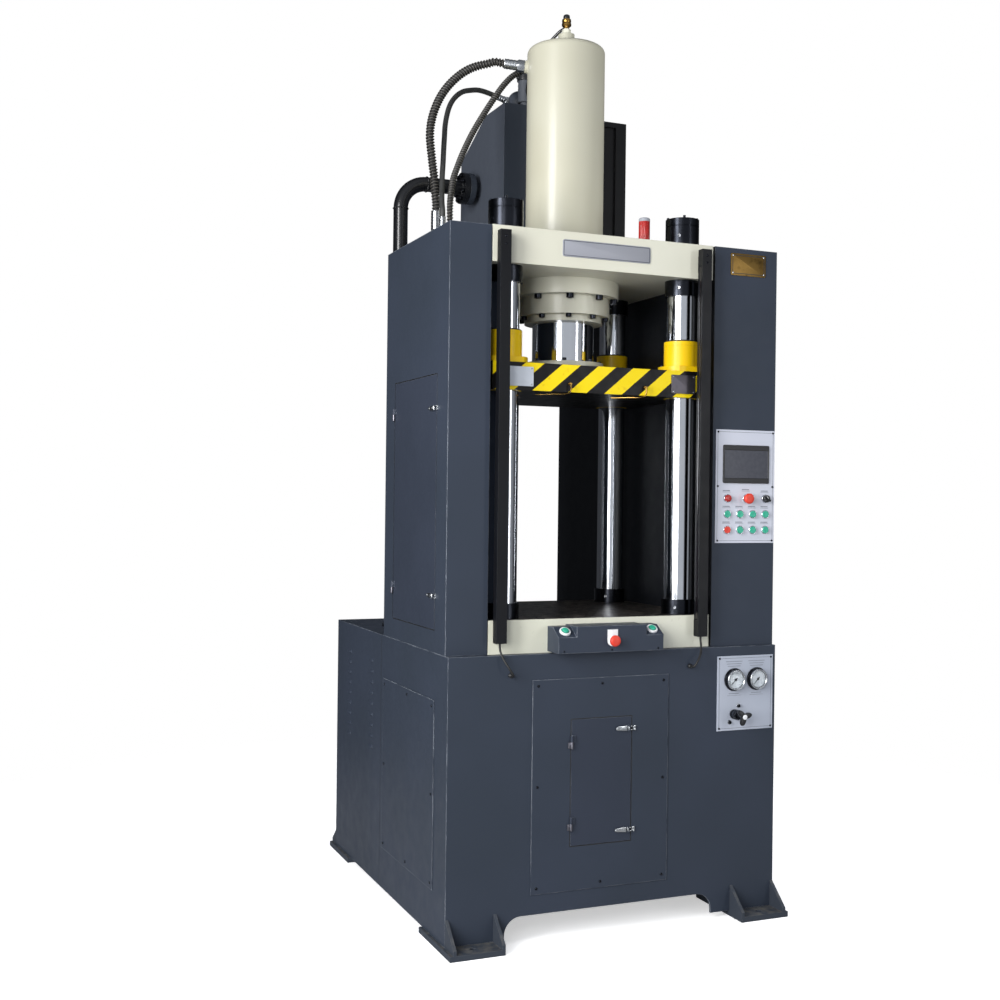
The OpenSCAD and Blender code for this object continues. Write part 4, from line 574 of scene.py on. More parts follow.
BLEED_ROUTE = [(-64, 407, 3426), (-74, 421, 3421), (-86, 438, 3408), (-98, 458, 3392), (-108, 482, 3376),
    (-115, 512, 3364), (-118, 548, 3352), (-117, 588, 3334), (-112, 630, 3310), (-103, 672, 3287),
    (-89, 714, 3270), (-68, 752, 3261), (-38, 784, 3257), (-4, 805, 3256)]


def wrapped(d, pitch, groove):
    """Spiral guard: r(s, u) = d / 2 - groove (1 - ((1 - cos(2 pi s / pitch - u)) / 2)^1.5)."""
    return lambda s, u: d / 2 - groove * (1 - (0.5 - 0.5 * np.cos(TAU * s / pitch - u)) ** 1.5)


def groove_faces(path, pitch, n):
    """Faces of a spiral guard between its turns, where cos(2 pi s / pitch - u) > -0.55, which take the black
    painted shade of the grooves; none on the caps.
    """
    s = np.concatenate([[0], np.cumsum(np.linalg.norm(np.diff(path, axis=0), axis=1))])
    mid = (s[:-1] + s[1:]) / 2
    u = (np.arange(n) + 0.5) * TAU / n
    deep = np.cos(TAU * mid[:, None] / pitch - u[None, :]) > -0.55
    return np.append(deep.reshape(-1), [False, False])


def braided(d, pitch, depth):
    """Braid: r(s, u) = d / 2 - depth (1 - cos(8u + ps) cos(8u - ps)) / 2 with p = 2 pi / pitch."""
    p = TAU / pitch
    return lambda s, u: d / 2 - depth * (1 - np.cos(8 * u + p * s) * np.cos(8 * u - p * s)) / 2


def make_cord(name, step, radius, n, look, pitch=0):
    d, points = ROUTES[name]
    path = smooth_path(points, step)
    # Faces between the guard's turns take black, painted shade in the grooves
    second = ("hose_groove", groove_faces(path, pitch, n)) if pitch else None
    piece = build(name + "_outer", [tube(path, radius, n)], look, "frame", [name], 80, second)
    metres = (path - np.array([0, FRAME_Y, 0])) * MM
    keep = metres[:: max(1, len(metres) // 40)].tolist()
    if keep[-1] != metres[-1].tolist():
        keep.append(metres[-1].tolist())


make_cord("pressure_hose", 1.25, wrapped(34, 12, 5.2), 24, "rubber", 12)
make_cord("fill_hose", 1.2, wrapped(25, 12, 4.4), 22, "rubber", 12)
make_cord("return_hose", 2.0, braided(21, 14, 0.7), 32, "braid")
make_cord("curtain_cable_left", 3.0, 4.0, 12, "seal")
make_cord("curtain_cable_right", 3.0, 4.0, 12, "seal")


# Hose ends, ports and the air bleed

def ferrule(origin, axis, length, d):
    """Crimped sleeve: a turned profile with shallow rings pressed round it."""
    r = d / 2 + 2.2
    rows = [(d / 2 + 0.3, -0.5), (r - 0.6, -0.5), (r, 0.6)]
    rings = max(2, int(length / 11))
    for i in range(rings):
        h = length * (i + 0.5) / rings
        rows += [(r, h - 2.6), (r - 0.9, h - 1.4), (r - 0.9, h + 1.4), (r, h + 2.6)]
    rows += [(r, length - 0.8), (r - 0.6, length)]
    return lathe(rows, origin, axis, 36)


def hex_nut(origin, axis, across, height):
    """Six-sided nut with chamfered ends."""
    r = hexagon(across)
    cap = np.minimum(r, across / 2 * 1.03)
    rows = [(cap * 0.97, 0), (r, 0.1 * height), (r, 0.9 * height), (cap * 0.97, height)]
    return lathe(rows, origin, axis, 36)


def ferrules():
    """Nuts and crimped sleeves at both ends of the three hoses, and the two turned ports on the tank."""
    shapes = []
    for name in ("pressure_hose", "return_hose", "fill_hose"):
        d, points = ROUTES[name]
        x, y, top = points[-1]
        shapes.append(hex_nut((x, y, HOSE_SEAT), Z, 0.87 * (d + 14), 30))
        shapes.append(ferrule((x, y, top), -Z, top - HOSE_SEAT - 28, d))
    first = {k: unit(np.subtract(p[0], p[1])) for k, (d, p) in ROUTES.items()}
    start, way = np.array(ROUTES["pressure_hose"][1][0], float), first["pressure_hose"]
    reach = np.linalg.norm(start[:2] - AXIS) - PORT_FACE
    shapes.append(ferrule(start, way, reach - 29, 34))
    shapes.append(hex_nut(start + (reach - 30) * way, way, 41.5, 30))
    start, way = np.array(ROUTES["fill_hose"][1][0], float), first["fill_hose"]
    corner = start + 16 * way
    inward = unit(np.append(AXIS - corner[:2], 0))
    reach = np.linalg.norm(corner[:2] - AXIS) - PORT_FACE
    bend = rounded([start + 2 * way, corner, corner + 20 * inward], 12, 8)
    shapes += [ferrule(start, way, 8, 25), tube(smooth_path(bend, 2), 14.0, 24),
               hex_nut(corner + (reach - 26) * inward, inward, 33.5, 26)]
    start, way = np.array(ROUTES["return_hose"][1][0], float), first["return_hose"]
    top = start + 50 * way
    shapes += [ferrule(start, way, 34, 21), hex_nut(start + 33 * way, way, 24, 14),
               lathe([(14.4, 0), (14.4, top[2] + 10 - TANK_TOP), (12, top[2] + 12.4 - TANK_TOP)],
                     (top[0], top[1], TANK_TOP), Z, 32)]
    p = BLEED_ROUTE[-1]
    shapes.append(lathe([(12, 0), (12, 37), (10, 40)], (p[0], p[1], TANK_TOP), Z, 32))
    return shapes


build("hose_ferrules", ferrules(), "steel", "frame", ["hose_fittings"])
build("bleed_pipe", [tube(smooth_path(BLEED_ROUTE, 6), 6.0, 16)], "pipe", "frame", ["hose_fittings"])
TOWER = np.array([AXIS[0], AXIS[1], 3399.0])
build("bleed_hex", [hex_nut(TOWER, Z, 30, 22)], "cream", "frame", ["hose_fittings"])
build("bleed_valve", [lathe([(10.6, 21), (10.6, 32), (14, 33), (18.6, 36), (18.8, 44), (16.5, 48), (18.2, 52),
                             (17.4, 60), (13, 62.5)], TOWER, Z, 40),
                      hex_nut(TOWER + 30 * Z, Z, 25, 6)], "bright_brass", "frame", ["hose_fittings"])
cap_profile = [(12.6, 61.5), (13, 63), (13, 72), (11.5, 77), (7, 79.6), (0.6, 80)]
build("bleed_cap", [lathe(cap_profile, TOWER, Z, 36)], "black_plastic", "frame", ["hose_fittings"])
cable_ends = [ROUTES[name][1][-1] for name in ("curtain_cable_left", "curtain_cable_right")]
build("cable_glands", [lathe([(9, 0), (9, 5), (7.6, 6), (7.6, 10), (5, 12.3)], (x, 0, z), -Y, 24)
                       for x, _, z in cable_ends],
      "black_plastic", "frame", ["hose_fittings"])


# Screws and bolts

def dome_screw(p, axis, r, h):
    """Low domed head with a four-lobed recess of radius 0.42 r (0.72 + 0.28 cos 4u)."""
    rows = [(r, 0), (r, 0.35 * h), (0.86 * r, 0.78 * h), (0.6 * r, h)]
    star = 0.42 * r * (0.72 + 0.28 * np.cos(4 * np.linspace(0, TAU, 36, endpoint=False)))
    return lathe(rows + [(star, h), (star * 0.8, 0.3 * h)], p, axis, 36)


def socket_head(p, axis, r, h):
    """Cap screw: chamfered round head with a hexagon socket."""
    well = hexagon(1.05 * r)
    return lathe([(r, 0), (r, h - 1.2), (r - 1.2, h), (well, h), (well, 0.45 * h)], p, axis, 36)


def corner_places(x, z, edge, cols, rows):
    """Places round the rim of a panel, as the CAD spaces them."""
    return [(x[0] + edge + (x[1] - x[0] - 2 * edge) * i / (cols - 1),
             z[0] + edge + (z[1] - z[0] - 2 * edge) * j / (rows - 1))
            for i in range(cols) for j in range(rows) if i in (0, cols - 1) or j in (0, rows - 1)]


def axis_ring(count, ring, z):
    """Places spread evenly round the press's axis: (ring cos a, ring sin a) at half steps."""
    return [np.array([AXIS[0] + ring * math.cos(a), AXIS[1] + ring * math.sin(a), z])
            for a in (TAU / count * (i + 0.5) - TAU / 4 for i in range(count))]


dark_heads = [dome_screw((x, COVER_FRONT, z), -Y, 5, 3) for x, z in corner_places(*FRONT_COVER, 22, 3, 3)]
dark_heads += [dome_screw((-HALF_W + COVER_FRONT, -y, z), -X, 5, 3)
               for y, z in corner_places(*SIDE_COVER, 22, 3, 3)]
dark_heads += [dome_screw((x, PANEL_FRONT, z), -Y, 4, 2.4)
               for x, z in corner_places(*OPERATOR_PANEL, 9, 2, 3)]
dark_heads += [dome_screw((x, COVER_FRONT, z), -Y, 4, 2.4) for x, z in corner_places(*GAUGE_PANEL, 9, 2, 2)]
dark_heads += [socket_head(p, -Z, 14, 18) for p in axis_ring(10, 200, BARREL_BOTTOM)]
dark_heads += [socket_head(p, -Z, 11, 14) for p in axis_ring(10, 167, GLAND_BOTTOM)]
for i in range(8):
    a = TAU / 8 * (i + 0.5)
    spot = np.array([RISER_FLANGE_X, RISER[1] + 53.5 * math.cos(a), RISER[2] + 53.5 * math.sin(a)])
    dark_heads.append(hex_nut(spot, -X, 17, 10))
    dark_heads.append(lathe([(5, 0), (5, 13), (4, 14)], spot, -X, 16))
build("dark_screws", dark_heads, "oxide", "frame", ["fasteners"])
bright_heads = [dome_screw((x, PANEL_FRONT, z), -Y, 4, 2.4) for x, z in corner_places(*BRASS_PLATE, 9, 2, 2)]
valve_bolts = []
for s in (-1, 1):
    spot = (VALVE[0] + s * 19.5, COVER_FRONT, VALVE[2] + s * 30.6)
    bright_heads.append(lathe([(8.5, 0), (8.5, 1.2), (7.8, 1.6)], spot, -Y, 32))
    valve_bolts.append(socket_head(np.add(spot, (0, -1.5, 0)), -Y, 6, 7))
build("valve_bolts", valve_bolts, "oxide", "frame", ["fasteners"])
build("bright_screws", bright_heads, "steel", "frame", ["fasteners"])


# Controls

def ring_collar(p):
    """Chrome collar over a button's seat: a turned rim with a rounded lip."""
    rim = rounded([(16.2, 0), (16.2, 4.6), (15.2, 6.0), (13.9, 5.7), (13.3, 4.4), (13.3, 0)], 0.7, 3)
    return band(rim, p, -Y, 40)


def push_cap(p):
    """Button cap with a rounded rim and a slightly dished top."""
    return lathe(rounded([(12.7, 2.5), (12.8, 9.9), (8.5, 9.7), (0.6, 9.3)], [0, 1.4, 3, 0], 5), p, -Y, 40)


def mushroom(p, axis, r, reach, start=3):
    """Stop button: waisted stem, flared head with a round brim and a shallow crown."""
    profile = rounded([(12.6, start), (12.6, reach - 17), (r - 3, reach - 15.5), (r, reach - 13),
                       (r, reach - 4.5), (r - 5, reach - 0.6), (r * 0.4, reach), (0.6, reach)],
                      [0, 2, 2, 1.5, 4, 6, 3, 0], 5)
    return lathe(profile, p, axis, 56)


BUTTONS = {"pump_start_button": (0, 1), "slide_down_button": (1, 1), "slide_up_button": (2, 1),
           "auto_start_button": (3, 1), "pump_stop_button": (0, 0), "inch_down_button": (1, 0),
           "inch_up_button": (2, 0), "reset_button": (3, 0)}
places = {n: (BUTTON_X[c], PANEL_FRONT, BUTTON_Z[r]) for n, (c, r) in BUTTONS.items()}
for name, p in places.items():
    stop = name == "pump_stop_button"
    build(name + "_cap", [push_cap(p)], "red" if stop else "green", name, [name])
LAMP = (BUTTON_X[0], PANEL_FRONT, BUTTON_Z[2])
KNOB = (BUTTON_X[3], PANEL_FRONT, BUTTON_Z[2])
build("button_collars", [ring_collar(p) for p in list(places.values()) + [LAMP, KNOB, ESTOP_PLACE]], "chrome",
      "frame")
build("panel_stop_head", [mushroom(ESTOP_PLACE, -Y, 20, 31)], "red", "panel_estop", ["panel_estop"])
lens = rounded([(13.2, 5), (13.4, 13), (9.5, 15.8), (0.6, 16)], [0, 2.5, 3, 0], 4)
build("panel_lamp_lens", [lathe(lens, LAMP, -Y, 40)], "lamp", "frame", ["signal_lamps"])


def selector():
    """Selector: turned skirt with a raised grip bar set at 45 degrees."""
    k = np.array(KNOB)
    skirt = rounded([(12.6, 3), (12.6, 6.2), (13.9, 6.4), (13.9, 17), (12, 19.4), (0.6, 19.4)],
                    [0, 0, 0, 1, 1.5, 0], 4)
    ex, ey = unit(X + Z), unit(Z - X)
    knob = [lathe(skirt, k, -Y, 40), slab(rect(8, 27.5, 3), k - 19 * Y, ex, ey, 9, 1.6)]
    return knob, [slab(rect(1.6, 11, 0.7), k - 27.9 * Y + 7 * ey, ex, ey, 0.25, 0.1)]


grip, pointer = selector()
build("selector_knob", grip, "black_plastic", "mode_selector", ["mode_selector"])
build("selector_pointer", pointer, "white", "mode_selector", ["mode_selector"])


def screen():
    """Display: bezel frame with a glass pane a little behind its rim, in the middle of the panel."""
    c = np.array([SCREEN_X, PANEL_FRONT, SCREEN_Z])
    outer, inner = rect(206, 146, 5), rect(194, 106, 2)
    rows = []
    steps = (outer, 0), (outer, 4.2), (inset(outer, 0.9), 5.0), (inset(inner, -1.5), 5.0), (inner, 3.6)
    for outline, d in steps:
        rows.append(c + outline[:, :1] * X + outline[:, 1:] * Z - d * Y)
    pane = c + inner[:, :1] * X + inner[:, 1:] * Z - 3.7 * Y
    return grid(rows, wrap=True), (pane, [list(range(len(pane)))])


bezel, pane = screen()
build("screen_bezel", [bezel], "screen", "frame", ["touch_screen"])
build("screen_pane", [pane], "display", "frame", ["touch_screen"])


def flat_bar(x, z, w, h, y):
    """Printed bar: a thin slab that faces the front."""
    return slab(rect(w, h, min(w, h) * 0.3, 2), (x, y, z), X, Z, 0.2, 0.05)


def border(x, z, w, h, y, line=1.2, ex=X, corner=4):
    """Thin printed frame: a closed strip between two rounded rectangles, in the plane of ex and Z."""
    outer, inner = rect(w, h, corner), rect(w - 2 * line, h - 2 * line, max(0.2, corner - line))
    rows = [np.array([x, y, z]) + o[:, :1] * ex + o[:, 1:] * Z + d * np.cross(ex, Z)
            for o, d in ((outer, 0), (outer, 0.2), (inner, 0.2), (inner, 0))]
    return grid(rows, wrap=True)


marks = [border(PANEL_X, PANEL_Z + 216, 250, 416, PANEL_FRONT),
         border(GAUGE_X, GAUGE_PANEL_Z, 232, 267, COVER_FRONT)]
faint = []
for p in list(places.values()) + [LAMP, KNOB, ESTOP_PLACE]:
    lift = 30 if p == ESTOP_PLACE else 25
    faint.append(flat_bar(p[0] - 3, p[2] + lift + 4.5, 32, 3.4, PANEL_FRONT))
    faint.append(flat_bar(p[0] - 2, p[2] + lift - 1, 36, 1.6, PANEL_FRONT))
for s in (-1, 1):
    for z, w, h in ((968, 74, 2.6), (959, 66, 2.6), (950, 58, 2.6), (846, 46, 3.0), (838.5, 60, 1.6)):
        faint.append(flat_bar(GAUGE_X + s * GAUGE_REACH, z, w, h, COVER_FRONT))
build("panel_borders", marks, "dark_mark", "frame")
build("panel_legends", faint, "faint_mark", "frame")


# Gauges and throttle

def gauges():
    """Both gauges: turned cases, rims, dials and panes, and a scale of 50 steps over 270 degrees."""
    cases, bezels, dials, ticks, panes = [], [], [], [], []
    for s in (-1, 1):
        c = np.array([GAUGE_X + s * GAUGE_REACH, COVER_FRONT, GAUGE_Z])
        case = rounded([(38.2, 0), (43.6, 0), (43.6, 3), (39.4, 4.2), (38.8, 16), (38, 16.6), (36, 16.6),
                        (36, 11)], [0, 0.4, 1, 1, 0.5, 0.3, 0, 0], 4)
        rim = rounded([(38.4, 16.2), (38.2, 19.5), (36.6, 21), (33.6, 21), (31.8, 18.5), (31.4, 11.2),
                       (36, 11), (36, 16.2)], [0, 1.2, 1.6, 1.6, 1, 0, 0, 0], 4)
        cases.append(band(case, c, -Y, 72))
        bezels.append(band(rim, c, -Y, 72))
        dials.append(lathe([(33, 10.2), (32.6, 11.3)], c, -Y, 64))
        for i in range(51):
            a = math.radians(225 - 270 * i / 50)
            out = np.array([math.cos(a), 0, math.sin(a)])
            across = np.cross(out, -Y)
            long, wide = (6.0, 1.1) if i % 10 == 0 else (3.2, 0.5)
            place = c - 11.3 * Y + (29.2 - long / 2) * out
            ticks.append(slab(rect(wide, long, 0.1, 1), place, -across, out, 0.12, 0.03))
        panes.append(lathe([(32.0, 17.2), (31.8, 18.2), (20, 18.9), (0.8, 19.2)], c, -Y, 64))
    return cases, bezels, dials, ticks, panes


cases, bezels, dials, ticks, panes = gauges()
build("gauge_shells", cases, "black_chrome", "frame", ["gauge_cases"])
build("gauge_bezels", bezels, "steel", "frame", ["gauge_cases"])
build("gauge_dials", dials, "dial", "frame", ["gauge_cases"])
build("gauge_ticks", ticks, "black_plastic", "frame", ["gauge_cases"])
build("gauge_panes", panes, "glass", "frame", ["gauge_cases"])


def star_knob():
    """Three-lobed grip: r(u) = 13 + 21 ((1 + cos 3(u - u0)) / 2)^1.6, lofted with rounded rims."""
    n = 96
    u = np.linspace(0, TAU, n, endpoint=False)
    c = np.array(VALVE)
    lobes = 13 + 21 * (0.5 + 0.5 * np.cos(3 * (u - math.radians(15)))) ** 1.6
    dirs = np.cos(u)[:, None] * X + np.sin(u)[:, None] * Z
    steps = ((0.55, 62), (0.9, 62.5), (0.98, 64.5), (1.0, 67), (0.99, 73), (0.95, 76), (0.86, 77.6),
             (0.5, 78))
    rows = [c - d * Y + (scale * lobes)[:, None] * dirs for scale, d in steps]
    return grid(np.array(rows)[:, ::-1], wrap=True, caps=(True, True))


build("throttle_knob", [star_knob()], "black_plastic", "throttle_handle", ["throttle_handle"])
build("throttle_shaft", [lathe([(5.9, 30), (5.9, 63)], VALVE, -Y, 28)], "steel", "throttle_handle",
      ["throttle_handle"])
cap_profile = [(9.5, 77), (9.5, 78.6), (8.4, 79.6), (3, 80), (0.6, 80)]
build("throttle_cap", [lathe(cap_profile, VALVE, -Y, 36)], "white", "throttle_handle", ["throttle_handle"])


def fluted_neck():
    """Lock nut behind the handle: r(u) = 18 + 0.8 cos 20u over chamfered ends."""
    flute = 18 + 0.8 * np.cos(20 * np.linspace(0, TAU, 160, endpoint=False))
    return lathe([(16.5, 0), (flute, 1.5), (flute, 14), (16.8, 15.5), (16.8, 18), (flute, 19.5), (flute, 33),
                  (15.5, 34.5), (7, 34.6)], VALVE, -Y, 160)


build("throttle_neck", [fluted_neck()], "oxide", "frame")


# Two-hand box

SLOPE = math.atan2(SLOPE_RISE, SLOPE_RUN)
PALM_AXIS = np.array([0, -math.sin(SLOPE), math.cos(SLOPE)])
PALMS = [np.array([BOX_X + s * PALM_REACH, BOX_FRONT + SLOPE_RUN / 2, BOX_Z + SLOPE_FOOT + SLOPE_RISE / 2])
         for s in (-1, 1)]
palm_ring = rounded([(20.5, -1), (20.5, 6.5), (19, 8), (15.5, 8), (13.5, 6), (13.5, 2)], 0.8, 3)
guards = [band(palm_ring, p, PALM_AXIS, 48) for p in PALMS]
BOX_STOP = np.array([BOX_X + 2, BOX_FRONT, BOX_Z + 42])
a = np.linspace(math.pi, TAU, 25)
shield = np.concatenate([[(-21, 39)], 21 * np.stack([np.cos(a), np.sin(a)], 1), [(21, 39)]])
guards.append(slab(shield, BOX_STOP, X, Z, 2.4, 0.8))
stop_ring = rounded([(16.2, 2), (16.2, 7), (15.2, 7.8), (13.6, 7.6), (13.4, 2)], 0.7, 3)
guards.append(band(stop_ring, BOX_STOP, -Y, 40))
build("hand_guards", guards, "white", "frame")
profile = rounded([(12.6, 0), (12.6, 11), (9, 14), (0.6, 14.5)], [0, 3, 4, 0], 5)
for name, p in zip(("palm_button_left", "palm_button_right"), PALMS):
    build(name + "_head", [lathe(profile, p, PALM_AXIS, 48)], "green", name, [name])
build("two_hand_stop_head", [mushroom(BOX_STOP, -Y, 20, 31, 7.6)], "red", "two_hand_estop",
      ["two_hand_estop"])
build("box_screws", [dome_screw((BOX_X + dx, BOX_FRONT, BOX_Z + 8), -Y, 3.5, 2) for dx in (-190, 0, 190)],
      "oxide", "frame")


# Plates

def blank_plate(x, z, w, h, y, r, depth):
    """Plate with rounded corners that faces the front, its back at y."""
    return slab(rect(w, h, r), (x, y, z), X, Z, depth, 0.6)


build("crown_plate", [blank_plate(AXIS[0], CROWN_PLATE_Z, 360, 62, 30, 8, 3)], "plate", "frame",
      ["nameplates"])
build("crown_plate_border", [border(AXIS[0], CROWN_PLATE_Z, 354, 56, 27, 2.6)], "dark_mark", "frame",
      ["nameplates"])
build("cabinet_plate", [blank_plate(BRASS_X, BRASS_Z, 156, 84, 20, 5, 3)], "brass", "frame", ["nameplates"])
build("cabinet_plate_border", [border(BRASS_X, BRASS_Z, 143, 71, 17, 2.4)], "black_plastic", "frame",
      ["nameplates"])


# Slide trim

def lube_line(x):
    """Thin pipe from a nipple down under the slide's front edge and back along its underside."""
    a = np.array([x, SLIDE_FRONT - 14, SLIDE_BOTTOM + 28])
    steps = (0, 0, 0), (0, -1, -14), (-2, 3, -28), (-10, 20, -33), (-40, 60, -33), (-90, 110, -33)
    return tube(smooth_path([a + step for step in steps], 3), 2.6, 10)


rivets = []
for side, s, look in (("left", -1, "label"), ("right", 1, "old_label")):
    mid, level = AXIS[0] + s * LABEL_REACH, SLIDE_BOTTOM + LABEL_LIFT
    plate = slab(rect(LABEL_W, LABEL_H, 3), (mid, SLIDE_FRONT, level), X, Z, 6, 1)
    build("slide_label_" + side, [plate], look, "slide", ["slide_fittings"])
    rivets += [dome_screw((x, SLIDE_FRONT - 6, z), -Y, 3, 1.6)
               for x, z in corner_places((mid - LABEL_W / 2, mid + LABEL_W / 2),
                                         (level - LABEL_H / 2, level + LABEL_H / 2), 7, 2, 2)]
build("label_rivets", rivets, "steel", "slide", ["slide_fittings"])
slide_heads = [socket_head(p, Z, 8, 12) for p in axis_ring(8, 144, SLIDE_TOP + 40)]
for c in COLUMNS:
    ix, iy = (1 if c[0] < AXIS[0] else -1), (1 if c[1] < AXIS[1] else -1)
    for a in (math.radians(15), math.radians(75)):
        spot = (c[0] + ix * 75.25 * math.cos(a), c[1] + iy * 75.25 * math.sin(a), SLIDE_TOP + 20)
        slide_heads.append(socket_head(spot, Z, 6, 7))
build("slide_screws", slide_heads, "oxide", "slide", ["slide_fittings"])
nipples = []
tip = rounded([(4.2, 6), (4.2, 10), (5, 12), (3.4, 16), (0.6, 16)], [0, 1, 1, 1, 0], 3)
for x in (-199, 111):
    p = np.array([x, SLIDE_FRONT, SLIDE_BOTTOM + 30])
    nipples += [hex_nut(p, -Y, 11, 7), lathe(tip, p, -Y, 20), lube_line(x)]
build("slide_nipples", nipples, "bright_brass", "slide", ["slide_fittings"])
wiper = rounded([(55.4, 0), (62.5, 0), (62.5, 2.5), (58, 5.5), (55.4, 6)], 0.6, 3)
lip = [(64.3, -17), (65.0, -16.6), (65.0, -14.4), (64.3, -14)]
sleeve_tops = [(c[0], c[1], SLIDE_TOP + 116) for c in COLUMNS]
build("sleeve_wipers", [band(wiper, p, Z, 64) for p in sleeve_tops], "seal", "slide")
build("sleeve_lips", [band(lip, p, Z, 64) for p in sleeve_tops], "yellow", "slide")


# Doors and latches

def at_front(u, y, z):
    """Place on the front door: u from its hinge edge, y into the base, z from its foot."""
    return np.array([DOOR["x0"] + u, COVER_FRONT + y, DOOR["z0"] + z])


def at_left(u, y, z):
    """Place on the left cabinet's door, counted in the same way."""
    return np.array([-HALF_W + y, LEFT_DOOR["y1"] - u, LEFT_DOOR["z0"] + z])


def lever(at, ex, w, z):
    """Toggle lever: a pressed tongue with a round tip, a raised rib and an eye at its pivot."""
    tongue = rounded([(-7, -6), (-7, -9.5), (-44, -6.5), (-54, -5.5), (-54, 5.5), (-44, 6.5), (-7, 9.5),
                      (-7, 6)], [0, 1.5, 0, 5, 5, 0, 1.5, 0], 5, True)[::-1]
    rib = rounded([(-12, -3.5), (-12, 3.5), (-40, 2.2), (-40, -2.2)], 1.6, 4, True)[::-1]
    eye = rounded([(3.6, -6), (4.5, -6), (4.5, 6), (3.6, 6)], 0.5, 3)
    out = np.cross(ex, Z)
    pivot = at(w - 13, -6, z)
    face = pivot + 1.2 * out
    return [slab(tongue, pivot - 1.2 * out, ex, Z, 2.6, 0.7), slab(rib, face, ex, Z, 1.4, 0.7),
            lathe(eye, pivot, Z, 24), lathe([(4.6, 0), (4.6, 1.6), (3.6, 2.4)], face - 49.5 * ex, out, 20)]


def keeper(at, ex, w, z):
    """Strike beside the door: a block with two round shoulders, and the two wires of the latch's loop."""
    out = np.cross(ex, Z)
    p = at(w + 4.5, 0, z)
    shapes = [slab(rect(12, 16, 2), p + 6 * ex, ex, Z, 4.2, 0.8)]
    shoulder = rounded([(4.2, 0), (4.2, 5.2), (2.6, 6.4), (0.5, 6.5)], [0, 1.2, 1, 0], 3)
    for s in (-1, 1):
        wire = [p - 20 * ex + 5.6 * out + s * 6.5 * Z, p - 6 * ex + 6.2 * out + s * 6.5 * Z,
                p + 3 * ex + 5 * out + s * 6 * Z]
        shapes += [lathe(shoulder, p + 8 * ex + s * 6 * Z, out, 24), tube(smooth_path(wire, 2), 1.3, 10)]
    return shapes


def hinge_barrel(at, ex, z):
    """Fixed half of a bullet hinge with its leaf and a rounded foot."""
    barrel = rounded([(0.6, -26), (3.4, -25.4), (5, -22.5), (5, -0.2), (4.4, 0)], [0, 1.5, 1.5, 0.3, 0], 4)
    leaf = slab(rect(13, 22, 1.5), at(-7.5, 0, z - 11.5), ex, Z, 4.5, 1)
    return [lathe(barrel, at(0, -5.6, z), Z, 28), leaf]


HINGES = [(at_front, X, 80), (at_front, X, 375), (at_left, -Y, 120), (at_left, -Y, 791)]
LATCHES = {"front_latch_upper": (at_front, X, DOOR["w"], 413),
           "front_latch_lower": (at_front, X, DOOR["w"], 42),
           "left_latch_upper": (at_left, -Y, LEFT_DOOR["w"], 791),
           "left_latch_lower": (at_left, -Y, LEFT_DOOR["w"], 120)}
build("latch_keepers", [shape for latch in LATCHES.values() for shape in keeper(*latch)], "steel", "frame",
      ["door_hardware"])
build("hinge_barrels", [shape for hinge in HINGES for shape in hinge_barrel(*hinge)], "hinge", "frame",
      ["door_hardware"])
for name, latch in LATCHES.items():
    build(name + "_lever", lever(*latch), "steel", name, [name])


# Posts, louvres, seams, painted door-gap shade and welds

windows, post_heads = [], []
for dx, side in POSTS:
    x = AXIS[0] + dx
    windows.append(slab(rect(13, 1320, 2), (x - side * 17.4, -1, 1794.5), -side * Y, Z, 2.2, 0.5))
    post_heads += [dome_screw((x, -17, z), -Y, 4.5, 1.6) for z in (2497, 2470)]
build("curtain_windows", windows, "window", "frame")
build("post_screws", post_heads, "oxide", "frame")


def louvre(y, z):
    """Pressed hood over a slot: depth(u, v) = 6 (1 - u^4)^0.5 sin(pi v / 2), open along its lower edge."""
    u = np.linspace(-1, 1, 17)[None, :]
    v = np.linspace(0, 1, 9)[:, None]
    deep = 6 * np.sqrt(np.clip(1 - u**4, 0, 1)) * np.sin(v * math.pi / 2)
    pts = np.stack([-HALF_W - 0.05 - deep, y + 25 - 27 * u + 0 * v, z + 12.5 - 12 * v + 0 * u], -1)
    return grid(pts)


hoods = [louvre(y, 550 + 44 * i) for y in (877, 1197) for i in range(9)]
build("louvre_hoods", hoods, "slate", "frame")
# A dark joint line down the base's side, and dark strips round both doors that paint the shade of the door
# gaps
seam_and_gap_shade = [slab(rect(2.2, 990, 0.4), (-HALF_W, 766, 522), -Y, Z, 0.25, 0.1)]
for d, at, ex in ((DOOR, at_front, X), (LEFT_DOOR, at_left, -Y)):
    c = at(d["w"] / 2, 0, d["h"] / 2)
    seam_and_gap_shade.append(border(c[0], c[2], d["w"] + 7, d["h"] + 7, c[1], 2.6, ex, 3))
build("base_seam_and_gap_shade", seam_and_gap_shade, "seal", "frame")


def weld(path, r=2.8, ripple=0.5):
    """Weld bead: a tube whose radius ripples, r(s) = r0 + a cos(2 pi s / 4)."""
    return tube(path, lambda s, u: np.full(len(u), r + ripple * math.cos(TAU * s / 4)), 10, (False, False))


upright = [((RISER[0], RISER[1], z), Z, r) for z, r in ((2813, 31.3), (1039, 31.6))]
level = [((x, RISER[1], RISER[2]), X, r) for x, r in ((RISER[0] + 115, 31.3), (RISER_FLANGE_X, 31.6))]
beads = [weld(circle_path(place, axis, r, 160)) for place, axis, r in upright + level]
build("pipe_welds", beads, "pipe", "frame")


# Breather and beacon

